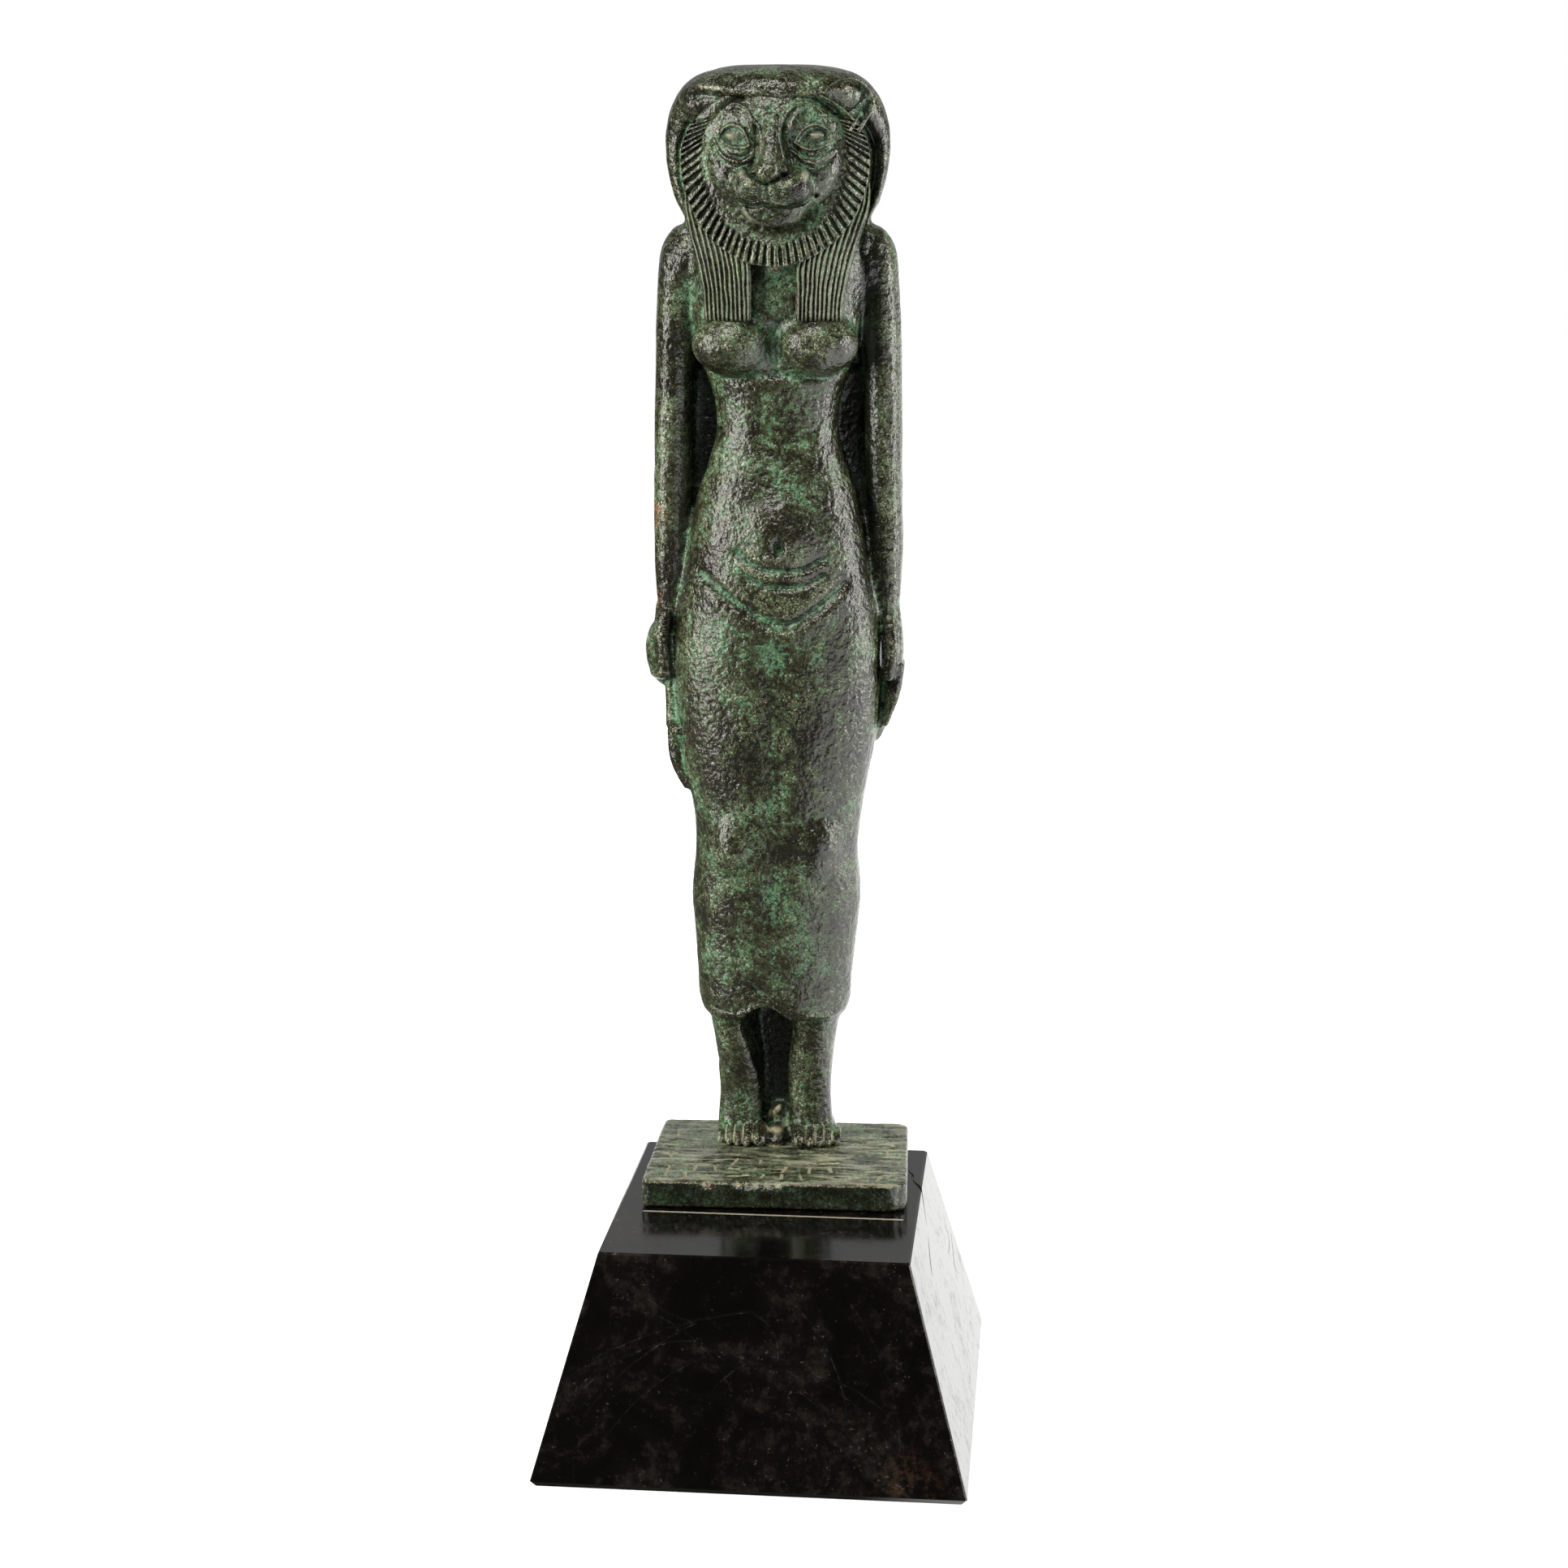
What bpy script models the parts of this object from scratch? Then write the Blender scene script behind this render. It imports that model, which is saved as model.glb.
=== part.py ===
"""A small bronze of a lioness-headed goddess, cast in one with its plate, on a stone plinth.

Metres, +Z up. The origin is under the middle of the plinth, and the plinth's sides are square
to the axes. The goddess looks along -Y, with her right side at -X.
"""

import math

import bmesh
import bpy
import numpy as np
from mathutils import Matrix

# The figure, from the soles to the crown. Her forms and carving are shares of this height.
FIGURE_HEIGHT = 0.1950
SHARES = 195
HEEL_TO_PLATE_EDGE = 0.0006
FIGURE_SIDE_SHIFT = -0.00095
HEEL_REACH = 0.0090
SOLE_SINK = 0.0010

# The cast plate under her feet.
PLATE_WIDTH = 0.0476
PLATE_BACK_WIDTH = 0.0464
PLATE_DEPTH = 0.0352
PLATE_THICKNESS = 0.0050
PLATE_CORNER_RADIUS = 0.0016
PLATE_WORN_CORNER_RADIUS = 0.0030
PLATE_EDGE_ROUND = 0.0004
PLATE_TURN = math.radians(1.8)
PLATE_SIDE_SHIFT = 0.0006
PLATE_TO_PLINTH_BACK = 0.0009

# The rows of shallow strokes on the plate.
STROKE_DEPTH = 0.0003
STROKE_WIDTH = 0.0005
STROKE_PITCH = 0.0042
STROKE_MARGIN = 0.0040

# The plinth, a four-sided truncated pyramid.
PLINTH_HEIGHT = 0.0389
PLINTH_BASE_WIDTH = 0.0755
PLINTH_BASE_DEPTH = 0.0809
PLINTH_TOP_WIDTH = 0.0537
PLINTH_TOP_DEPTH = 0.0590
PLINTH_EDGE_ROUND = 0.0003
PLINTH_FOOT_CHAMFER = 0.0010
RESTING_GAP = 0.0003

# How finely the figure is made, in shares of her height, and the faces that are kept of it.
BLEND_GRAIN = 0.55
CARVING_GRAIN = 0.30
FIGURE_FACES = 6300
FINE_SHAPE_CARE = 0.005
SHARE = FIGURE_HEIGHT / SHARES

# Where the ruff of mane lies round the face: half widths, and heights over and under a middle.
RUFF_TEETH = 60
RUFF_REACH = math.radians(150)
RUFF_INNER = {"half_width": 11.4, "over": 8.0, "under": 14.7, "middle": 182.0}
RUFF_OUTER = {"half_width": 16.4, "over": 12.0, "under": 18.3, "middle": 179.0}
RUFF_TOOTH_DEPTH = 0.45
LAPPET_STRANDS = 12
LAPPET_STRAND_DEPTH = 0.30


# Basic shapes

def smooth_rows(stations, count):
    """Rows at even steps on a smooth curve through the stations, whose first column rises."""
    table = np.array(stations, float)
    at = np.linspace(table[0, 0], table[-1, 0], count)
    slopes = np.gradient(table, table[:, 0], axis=0)
    left = np.clip(np.searchsorted(table[:, 0], at, side="right") - 1, 0, len(table) - 2)
    span = (table[left + 1, 0] - table[left, 0])[:, None]
    step = (at[:, None] - table[left, :1]) / span
    rows = (2 * step**3 - 3 * step**2 + 1) * table[left]
    rows += (step**3 - 2 * step**2 + step) * span * slopes[left]
    rows += (3 * step**2 - 2 * step**3) * table[left + 1]
    rows += (step**3 - step**2) * span * slopes[left + 1]
    return rows


def oval(half_width, front, back, squareness=2.0, sides=56):
    """A ring seen from above: (across, along) pairs, with its own depth in front and behind."""
    turn = np.linspace(0, 2 * math.pi, sides, endpoint=False)
    power = 2 / squareness
    across = np.sign(np.cos(turn)) * np.abs(np.cos(turn)) ** power * half_width
    along = np.sign(np.sin(turn)) * np.abs(np.sin(turn)) ** power
    return across, along * np.where(along < 0, front, back)


def level_ring(height, middle_x, middle_y, half_width, front, back, squareness=2.0):
    across, along = oval(half_width, front, back, squareness)
    return np.column_stack([middle_x + across, middle_y + along, np.full(len(across), height)])


def add_loft(bm, rings):
    """A closed tube through rings of equal length, capped at both ends."""
    loops = [[bm.verts.new(point) for point in ring] for ring in rings]
    faces = [bm.faces.new(loops[0][::-1]), bm.faces.new(loops[-1])]
    for low, high in zip(loops, loops[1:]):
        for i, vert in enumerate(low):
            j = (i + 1) % len(low)
            faces.append(bm.faces.new((vert, low[j], high[j], high[i])))
    bmesh.ops.recalc_face_normals(bm, faces=faces)


def add_ball(bm, middle, radii, tilt=0.0):
    """An ellipsoid, tilted about the Y axis."""
    place = Matrix.Translation(middle) @ Matrix.Rotation(tilt, 4, "Y") @ Matrix.Diagonal((*radii, 1))
    bmesh.ops.create_uvsphere(bm, u_segments=36, v_segments=24, radius=1, matrix=place)


def add_strand(bm, points, radii, flatten=1.0):
    """A round strand through (x, y, z) points, as a close string of balls."""
    stations = [(i, *point, radius) for i, (point, radius) in enumerate(zip(points, radii))]
    length = sum(math.dist(a, b) for a, b in zip(points, points[1:]))
    count = max(3, math.ceil(length / (0.35 * min(radii))))
    for _, x, y, z, radius in smooth_rows(stations, count):
        place = Matrix.Translation((x, y, z)) @ Matrix.Diagonal((radius * flatten, radius, radius, 1))
        bmesh.ops.create_icosphere(bm, subdivisions=2, radius=1, matrix=place)


def object_of(name, bm):
    mesh = bpy.data.meshes.new(name)
    bm.to_mesh(mesh)
    bm.free()
    obj = bpy.data.objects.new(name, mesh)
    bpy.context.scene.collection.objects.link(obj)
    return obj


def settle(obj):
    """Makes what the object's modifiers show its own mesh."""
    graph = bpy.context.evaluated_depsgraph_get()
    mesh = bpy.data.meshes.new_from_object(obj.evaluated_get(graph))
    old = obj.data
    obj.modifiers.clear()
    obj.data = mesh
    bpy.data.meshes.remove(old)


def fuse(obj, grain, rounds):
    """Makes overlapping shapes one skin and softens the creases where they meet."""
    skin = obj.modifiers.new("skin", "REMESH")
    skin.mode = "VOXEL"
    skin.voxel_size = grain
    soften = obj.modifiers.new("soften", "SMOOTH")
    soften.factor = 0.5
    soften.iterations = rounds
    settle(obj)


def thin_out(obj):
    """Fewer faces, with more of them left to the face, the hands and the toes."""
    coarse = obj.vertex_groups.new(name="coarse")
    for vert in obj.data.vertices:
        x, y, z = vert.co
        toes = z < 4.5 and y < 0
        fine = (z > 168 and y < -6.0) or (76 < z < 100 and abs(x) > 18.5)
        coarse.add([vert.index], 0.01 if toes else 0.6 if fine else 1.0, "REPLACE")
    thin = obj.modifiers.new("thin", "DECIMATE")
    thin.vertex_group = coarse.name
    thin.vertex_group_factor = FINE_SHAPE_CARE
    thin.ratio = FIGURE_FACES / (2 * len(obj.data.polygons))
    settle(obj)
    obj.vertex_groups.clear()


def combine(obj, other, operation):
    """A Boolean of two closed meshes, after which the other one is gone."""
    join = obj.modifiers.new(operation.lower(), "BOOLEAN")
    join.operation = operation
    join.solver = "MANIFOLD"
    join.object = other
    settle(obj)
    bpy.data.objects.remove(other)


# The soft masses of the body. All numbers are shares of her height, as places and radii.

def lean(height):
    """How far the lower legs stand towards her right."""
    return -0.5 * np.clip((60.0 - height) / 30.0, 0, 1)


def add_body(bm):
    """Torso and tight dress in one: height, half width, front and back."""
    stations = [
        (24.8, 12.9, 8.4, 8.2), (26.5, 13.6, 8.7, 8.5), (33.0, 14.3, 9.0, 9.0),
        (39.3, 14.9, 9.3, 9.8), (47.0, 15.5, 9.8, 10.1), (57.5, 14.9, 10.4, 9.2),
        (63.0, 15.4, 10.5, 9.4), (70.0, 16.7, 10.9, 10.3), (77.0, 17.9, 11.2, 11.2),
        (86.0, 18.6, 11.3, 11.8), (95.0, 18.6, 11.2, 11.6), (101.0, 17.8, 11.0, 10.8),
        (107.0, 16.6, 10.9, 9.8), (114.5, 15.5, 10.7, 8.7), (120.0, 14.4, 9.8, 7.9),
        (126.5, 12.2, 8.5, 7.0), (133.0, 10.8, 7.6, 6.3), (138.5, 11.5, 7.6, 6.6),
        (143.0, 13.1, 8.2, 7.2), (148.5, 14.6, 8.8, 7.8), (156.0, 15.3, 9.2, 8.4),
        (162.0, 15.6, 9.2, 8.6), (167.0, 13.0, 8.6, 8.2), (171.0, 9.0, 7.0, 7.0),
    ]
    rows = smooth_rows(stations, 120)
    add_loft(bm, [level_ring(z, lean(z), 0, half, front, back, 2.25) for z, half, front, back in rows])
    for side in (-1, 1):
        add_ball(bm, (side * 7.5, -6.6, 147.3), (7.1, 5.5, 5.6))
        add_ball(bm, (side * 7.6, 4.6, 91.0), (9.4, 8.2, 13.5))
        add_ball(bm, (side * 6.8, -3.6, 58.0), (6.0, 7.2, 9.0))
    add_ball(bm, (0.4, -4.6, 112.0), (10.5, 7.3, 12.5))


def add_wig(bm):
    """The rounded mass of the wig, its low crown and the part that hangs down her back."""
    stations = [
        (150.0, 13.0, 2.0, 10.2), (158.0, 13.6, 3.0, 10.6), (165.0, 16.0, 4.0, 11.4),
        (168.8, 16.4, 4.4, 12.0), (171.6, 17.8, 4.4, 12.6), (174.6, 18.8, 4.5, 13.1),
        (180.0, 19.6, 4.8, 13.6), (184.0, 19.5, 6.0, 13.6), (188.3, 18.3, 9.9, 12.8),
        (190.4, 17.1, 11.3, 11.8), (192.4, 15.2, 10.2, 10.2), (194.0, 11.9, 7.4, 7.8),
        (195.0, 7.0, 3.6, 4.4),
    ]
    rows = smooth_rows(stations, 90)
    add_loft(bm, [level_ring(z, 0, 0, half, front, back, 2.2) for z, half, front, back in rows])


def add_face_masses(bm):
    """The broad forms of the lioness's head: skull, muzzle, whisker pads and chin."""
    add_ball(bm, (0, -4.4, 181.0), (12.9, 8.2, 13.6))
    add_ball(bm, (0, -2.6, 169.0), (13.0, 7.4, 7.6))
    add_ball(bm, (0.2, -10.2, 174.2), (7.2, 5.8, 5.2))
    add_ball(bm, (0.2, -11.0, 170.9), (5.0, 4.2, 3.1))
    for side in (-1, 1):
        add_ball(bm, (side * 3.1 + 0.2, -12.9, 174.6), (3.7, 3.7, 3.0))
        add_ball(bm, (side * 6.4, -8.6, 176.8), (4.9, 3.6, 7.4), math.radians(side * 24))


def add_arm(bm, side):
    """A straight arm with its rounded shoulder, and the wall of metal that joins it to the body."""
    stations = [
        (99.0, 19.5, 1.2, 2.45, 3.0), (103.0, 19.4, 1.3, 2.75, 3.3), (110.0, 19.3, 1.6, 3.15, 3.9),
        (120.0, 19.0, 2.0, 3.35, 4.4), (134.0, 18.7, 2.2, 3.40, 4.7), (146.0, 18.4, 2.2, 3.50, 5.0),
        (156.0, 17.9, 2.0, 3.60, 5.2), (163.0, 17.1, 1.8, 3.60, 4.9), (167.2, 16.0, 1.8, 2.60, 3.4),
    ]
    rings = []
    for z, x, y, half, depth in smooth_rows(stations, 60):
        rings.append(level_ring(z, side * x, y, half, depth, depth, 2.3))
    add_loft(bm, rings)
    add_ball(bm, (side * 15.9, 1.9, 160.6), (5.3, 5.8, 7.4))
    wall = []
    for z, inner, outer in ((82.0, 14.0, 19.4), (99.0, 13.0, 19.4), (120.0, 9.0, 18.5), (134.0, 6.0, 18.2),
                            (150.0, 9.0, 18.0), (163.0, 10.0, 17.0)):
        wall.append(level_ring(z, side * (inner + outer) / 2, 4.6, (outer - inner) / 2, 2.2, 1.9, 4.0))
    add_loft(bm, wall)


def splay(y):
    """How far the feet point towards her left, from the heel to the toes."""
    return 0.5 - np.clip((y + 5.0) / 12.0, 0, 1)


def add_leg(bm, side):
    """A leg below the hem and its bare foot, without the toes."""
    stations = [
        (0.5, 6.7, 4.2, 3.6, 7.9), (4.0, 6.6, 4.1, 3.3, 7.8), (8.0, 6.4, 4.0, 3.0, 7.4),
        (14.0, 6.5, 4.1, 4.0, 7.2), (20.5, 7.3, 4.1, 5.3, 7.4), (27.0, 7.8, 4.7, 6.4, 7.6),
    ]
    rows = smooth_rows(stations, 24)
    rings = []
    for z, x, half, front, back in rows:
        rings.append(level_ring(z, side * x + lean(z), 0, half, front, back, 2.2))
    add_loft(bm, rings)
    foot = [(-5.0, 4.2, 1.2), (-3.6, 4.5, 2.5), (-1.6, 4.4, 4.0), (4.0, 4.1, 5.0), (8.4, 3.7, 3.6)]
    rings = []
    for y, half, height in smooth_rows(foot, 18):
        across, up = oval(half, SOLE_SINK / SHARE, height, 2.6)
        rings.append(np.column_stack([side * 6.9 + splay(y) + across, np.full(len(across), y), up]))
    add_loft(bm, rings)


def add_leg_wall(bm):
    """The metal behind the recess between the legs."""
    add_loft(bm, [level_ring(z, 0, 6.2, 5.0, 2.0, 2.0, 4.0) for z in (-1.0, 14.0, 28.0)])


def leg_recess():
    """The deep narrow hollow between the legs, round at its top and open to the front."""
    bm = bmesh.new()
    stations = [(0.6, -0.1, 1.9), (5.0, -0.1, 1.9), (11.0, -0.3, 1.9), (18.0, -0.5, 2.7), (23.5, -0.8, 3.3),
                (28.0, -1.4, 2.6), (30.8, -2.0, 0.6)]
    rings = []
    for z, x, half in smooth_rows(stations, 26):
        rings.append(level_ring(z, x, -5.0, half, 8.0, 9.0, 3.0))
    add_loft(bm, rings)
    return object_of("leg_recess", bm)


# The crisper forms, which keep their edges.

def add_nose(bm):
    """The long flat-fronted bridge, narrow between the eyes and wide at the nostrils."""
    stations = [
        (175.5, 0.9, 16.2), (176.4, 2.7, 17.2), (177.6, 2.9, 17.2), (179.3, 2.0, 16.3),
        (181.5, 1.6, 15.2), (184.0, 1.5, 13.9), (186.5, 1.4, 12.3),
    ]
    rows = smooth_rows(stations, 24)
    add_loft(bm, [level_ring(z, -0.1, -8.0, half, front - 8.0, 3.0, 3.4) for z, half, front in rows])


def add_ears(bm):
    """Her left ear is a round cup, her right one is worn down to a low swelling."""
    rim = []
    for turn in np.linspace(math.radians(-80), math.radians(235), 9):
        rim.append((14.0 + 3.3 * math.cos(turn), -7.8 + 1.6 * math.cos(turn), 188.0 + 3.4 * math.sin(turn)))
    add_strand(bm, rim, [0.65] * len(rim))
    add_strand(bm, [(14.9, -6.6, 189.8), (13.2, -7.5, 186.2)], [0.5, 0.5])
    add_ball(bm, (14.0, -5.0, 188.0), (3.8, 2.4, 3.8))
    add_ball(bm, (-12.0, -5.4, 188.6), (3.9, 2.2, 2.3), math.radians(-25))


def add_closed_hand(bm):
    """Her right hand, closed on the stem of something now broken away."""
    add_ball(bm, (-20.8, 1.6, 91.4), (3.0, 4.4, 6.1), math.radians(-6))
    add_ball(bm, (-19.9, 1.6, 98.4), (2.6, 3.2, 5.0))
    add_ball(bm, (-17.2, 3.4, 97.0), (2.2, 2.4, 6.0))
    add_strand(bm, [(-20.3, -1.6, 98.5), (-20.6, -3.0, 94.0), (-19.9, -3.2, 88.4)], [1.3, 1.3, 1.1])
    for row in range(4):
        add_ball(bm, (-21.6, 0.6, 94.9 - 2.2 * row), (2.2, 3.7, 1.85))
    add_strand(bm, [(-19.2, -0.4, 87.5), (-19.0, -1.0, 82.0), (-18.8, -1.4, 79.0)], [1.5, 1.4, 1.5])
    add_strand(bm, [(-19.2, -2.2, 79.2), (-17.8, -4.4, 78.0)], [0.9, 0.8])
    add_strand(bm, [(-18.8, -1.0, 77.4), (-18.1, -1.2, 72.0), (-16.4, -1.4, 67.6)], [1.3, 1.4, 0.9])


def add_open_hand(bm):
    """Her left hand, open and flat along the thigh, with the thumb in front."""
    stations = [
        (78.6, 19.2, 0.5, 2.0), (81.5, 20.2, 1.0, 2.9), (86.0, 20.9, 1.2, 3.3),
        (92.0, 21.3, 1.4, 3.6), (97.5, 20.6, 1.8, 3.2), (101.5, 19.6, 2.3, 2.8),
    ]
    rows = smooth_rows(stations, 26)
    add_loft(bm, [level_ring(z, x, 1.6, half, depth, depth, 2.6) for z, x, half, depth in rows])
    add_ball(bm, (18.4, 3.2, 82.0), (2.0, 2.4, 7.0), math.radians(8))
    add_strand(bm, [(20.2, -0.9, 98.0), (20.6, -2.4, 93.5), (20.2, -2.9, 88.2)], [1.4, 1.35, 1.0])
    for row in range(4):
        y = -1.1 + 1.75 * row
        add_strand(bm, [(22.1, y, 89.5), (21.6, y, 84.5), (20.4, y, 79.6)], [0.95, 0.95, 0.7])


def add_toes(bm, side):
    """Five toes, the great toe on the inner side."""
    across = [3.5, 5.9, 7.6, 9.2, 10.7]
    radii = [1.35, 0.95, 0.90, 0.85, 0.85]
    tips = [-5.9, -6.1, -5.8, -5.3, -4.6]
    for x, radius, tip in zip(across, radii, tips):
        x = side * x + splay(tip)
        add_strand(bm, [(x, tip + 3.6, 3.8), (x, tip + 1.7, 2.5), (x, tip, radius)], [radius] * 3)


# The ruff and the lappets, made as separate crisp shapes and united with her.

def ruff_edge(edge, turn):
    """The (x, z) point of an edge at a turn from straight down."""
    height = np.where(np.cos(turn) > 0, edge["under"], edge["over"])
    return edge["half_width"] * np.sin(turn), edge["middle"] - height * np.cos(turn)


def ruff():
    """The U-shaped collar of mane round the face, with a groove between each pair of locks."""
    bm = bmesh.new()
    rings = []
    steps = RUFF_TEETH * 2
    for k, turn in enumerate(np.linspace(-RUFF_REACH, RUFF_REACH, steps + 1)):
        inner_x, inner_z = ruff_edge(RUFF_INNER, turn)
        outer_x, outer_z = ruff_edge(RUFF_OUTER, turn)
        hollow = RUFF_TOOTH_DEPTH * (1 if k % 2 else 0)
        sweep = abs(math.sin(turn)) ** 1.5
        inner_y = -11.3 + 2.6 * sweep
        outer_y = -12.7 + 6.6 * sweep
        back = max(3.0, 3.6 * math.cos(turn))
        ring = []
        root = 0.10 + 0.25 * max(0.0, math.cos(turn))
        for share in (-0.45, root, 0.88, 1.0):
            lift = 0.35 * math.sin(math.pi * share) - hollow * (0 < share < 1)
            ring.append((inner_x + share * (outer_x - inner_x), inner_y + share * (outer_y - inner_y) - lift,
                         inner_z + share * (outer_z - inner_z)))
        ring.append((outer_x, outer_y + back, outer_z))
        ring.append((0.6 * inner_x, inner_y + back, RUFF_INNER["middle"] + 0.6 * (inner_z - RUFF_INNER["middle"])))
        rings.append(ring)
    add_loft(bm, rings)
    return object_of("ruff", bm)


def lappet(side):
    """One front lappet of the wig: strands that come from under the ruff and end in a level cut."""
    bm = bmesh.new()
    stations = [
        (151.5, 3.9, 12.0, 11.2, 9.9), (156.0, 3.9, 12.4, 11.3, 9.8), (161.0, 4.0, 13.4, 11.3, 9.0),
        (166.0, 5.0, 14.9, 10.0, 6.6), (171.0, 8.0, 16.2, 8.0, 2.6), (175.0, 10.0, 16.4, 6.0, 1.0),
    ]
    rings = []
    for z, inner, outer, front_in, front_out in smooth_rows(stations, 8):
        ring = []
        for k in range(2 * LAPPET_STRANDS + 1):
            share = k / (2 * LAPPET_STRANDS)
            bulge = 0.5 * math.sin(math.pi * share)
            hollow = LAPPET_STRAND_DEPTH * (1 - k % 2)
            front = front_in + share * (front_out - front_in) + bulge - hollow
            ring.append((side * (inner + share * (outer - inner)), -front, z))
        ring.append((side * outer, -front_out + 4.0, z))
        ring.append((side * inner, -front_out + 4.0, z))
        rings.append(ring)
    add_loft(bm, rings)
    return object_of("lappet", bm)


# Carving: points of the skin are moved by functions of where they lie.

class Skin:
    """A mesh's points and normals as arrays, with the strokes that carve them."""

    VIEWS = {"front": (0, 2, 1, -1), "back": (0, 2, 1, 1), "right": (1, 2, 0, -1), "left": (1, 2, 0, 1)}

    def __init__(self, mesh):
        self.mesh = mesh
        self.points = np.empty(len(mesh.vertices) * 3, np.float32)
        self.normals = np.empty(len(mesh.vertices) * 3, np.float32)
        mesh.vertices.foreach_get("co", self.points)
        mesh.vertices.foreach_get("normal", self.normals)
        self.points = self.points.reshape(-1, 3).astype(float)
        self.normals = self.normals.reshape(-1, 3).astype(float)

    def stroke(self, path, width, height, view="front"):
        """Raises, or lowers for a height under 0, a soft line along a path drawn in a view."""
        across, up, depth, sign = self.VIEWS[view]
        path = np.array(path, float)
        line = smooth_rows([(i, *point) for i, point in enumerate(path)], 10 * len(path))[:, 1:]
        flat = self.points[:, (across, up)]
        reach = 2.5 * width
        near = (flat > line.min(axis=0) - reach).all(axis=1) & (flat < line.max(axis=0) + reach).all(axis=1)
        facing = np.clip(1.6 * sign * self.normals[:, depth], 0, 1)
        index = np.nonzero(near & (facing > 0))[0]
        start, run = line[:-1], np.diff(line, axis=0)
        away = flat[index, None, :] - start
        share = np.clip((away * run).sum(axis=2) / (run**2).sum(axis=1), 0, 1)
        gap = np.linalg.norm(away - share[:, :, None] * run, axis=2).min(axis=1)
        self.points[index, depth] += sign * height * facing[index] * np.exp(-((gap / width) ** 2))

    def swell(self, middle, radii, height):
        """Raises or lowers a soft round spot along the skin's normals."""
        away = (self.points - np.array(middle)) / np.array(radii)
        self.points += height * np.exp(-(away**2).sum(axis=1))[:, None] * self.normals

    def keep(self):
        self.mesh.vertices.foreach_set("co", self.points.astype(np.float32).ravel())
        self.mesh.update()


def mirrored(path, side):
    return [(side * x, z) for x, z in path]


def carve_face(skin):
    """Eyes with two lids in shallow sockets, the forked brow, the mouth and the chin."""
    upper_lid = [(4.3, 182.4), (5.3, 184.1), (7.0, 184.8), (8.5, 184.1), (9.3, 182.7)]
    lower_lid = [(4.3, 182.4), (5.5, 181.3), (6.9, 181.0), (8.4, 181.5), (9.3, 182.7)]
    brow = [(1.9, 184.6), (2.9, 186.2), (4.6, 187.8), (6.3, 188.2), (8.2, 187.2), (10.2, 184.9)]
    cheek = [(10.3, 181.8), (8.8, 180.0), (6.3, 178.8), (4.6, 179.6)]
    muzzle_side = [(3.3, 178.6), (5.4, 177.4), (7.2, 175.0), (7.3, 172.6)]
    for side in (-1, 1):
        skin.swell((side * 7.0, -12.0, 182.9), (2.9, 4.0, 2.4), -1.3)
        skin.swell((side * 3.6, -13.5, 181.8), (1.2, 4.0, 2.6), -0.7)
        skin.swell((side * 6.9, -11.4, 182.9), (1.5, 4.0, 1.2), 1.0)
        skin.stroke(mirrored(upper_lid, side), 0.45, 0.55)
        skin.stroke(mirrored(lower_lid, side), 0.45, 0.45)
        skin.stroke(mirrored(brow, side), 0.75, 0.75)
        skin.stroke(mirrored(cheek, side), 0.50, 0.30)
        skin.stroke(mirrored(muzzle_side, side), 0.60, -0.40)
    skin.stroke([(-6.0, 172.6), (-3.2, 171.7), (0.3, 172.1), (3.6, 171.7), (6.8, 172.8)], 0.55, -1.0)
    skin.stroke([(-4.6, 170.2), (0.3, 169.2), (5.2, 170.4)], 0.90, 0.45)
    skin.stroke([(0.1, 175.4), (0.2, 172.6)], 0.40, -0.45)


def carve_body(skin):
    """The crease under the breasts, the navel and the folds of the belly, and her back."""
    skin.stroke([(-13.6, 143.6), (-7.0, 141.6), (0.2, 142.2), (7.4, 141.6), (14.2, 143.6)], 0.8, -0.7)
    skin.stroke([(0.2, 150.5), (0.2, 143.0)], 1.3, -1.0)
    skin.stroke([(-5.5, 110.1), (0.9, 108.0), (8.1, 109.2)], 0.6, -0.60)
    skin.stroke([(-3.8, 106.0), (2.2, 104.9), (8.1, 106.6)], 0.6, -0.60)
    skin.stroke([(-11.4, 105.2), (-5.1, 101.5), (1.6, 98.4), (6.8, 100.9), (12.0, 104.6)], 0.9, -0.90)
    skin.swell((1.0, -12.0, 112.2), (0.9, 3.0, 1.4), -1.5)
    skin.swell((1.2, -12.0, 110.5), (0.8, 3.0, 0.6), 0.35)
    skin.stroke([(0.0, 92.0), (0.0, 70.0), (0.0, 44.0)], 2.6, -0.5)
    skin.stroke([(0.0, 148.0), (0.0, 128.0), (0.0, 106.0)], 2.0, -0.8, "back")
    skin.stroke([(0.0, 100.0), (0.0, 84.0)], 1.8, -1.0, "back")
    skin.swell((0.3, -12.0, 160.4), (1.0, 3.0, 0.9), 1.1)


def figure():
    """The whole goddess in shares of her height, standing at the origin."""
    bm = bmesh.new()
    add_body(bm)
    add_wig(bm)
    add_face_masses(bm)
    add_leg_wall(bm)
    for side in (-1, 1):
        add_arm(bm, side)
        add_leg(bm, side)
    obj = object_of("bronze_figure", bm)
    fuse(obj, BLEND_GRAIN, 10)
    combine(obj, leg_recess(), "DIFFERENCE")

    bm = bmesh.new()
    add_nose(bm)
    add_ears(bm)
    add_closed_hand(bm)
    add_open_hand(bm)
    for side in (-1, 1):
        add_toes(bm, side)
    bm.from_mesh(obj.data)
    bm.to_mesh(obj.data)
    bm.free()
    fuse(obj, CARVING_GRAIN, 3)

    skin = Skin(obj.data)
    carve_face(skin)
    carve_body(skin)
    skin.keep()
    thin_out(obj)
    combine(obj, ruff(), "UNION")
    for side in (-1, 1):
        combine(obj, lappet(side), "UNION")
    return obj


# The plate and its rows of strokes

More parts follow.
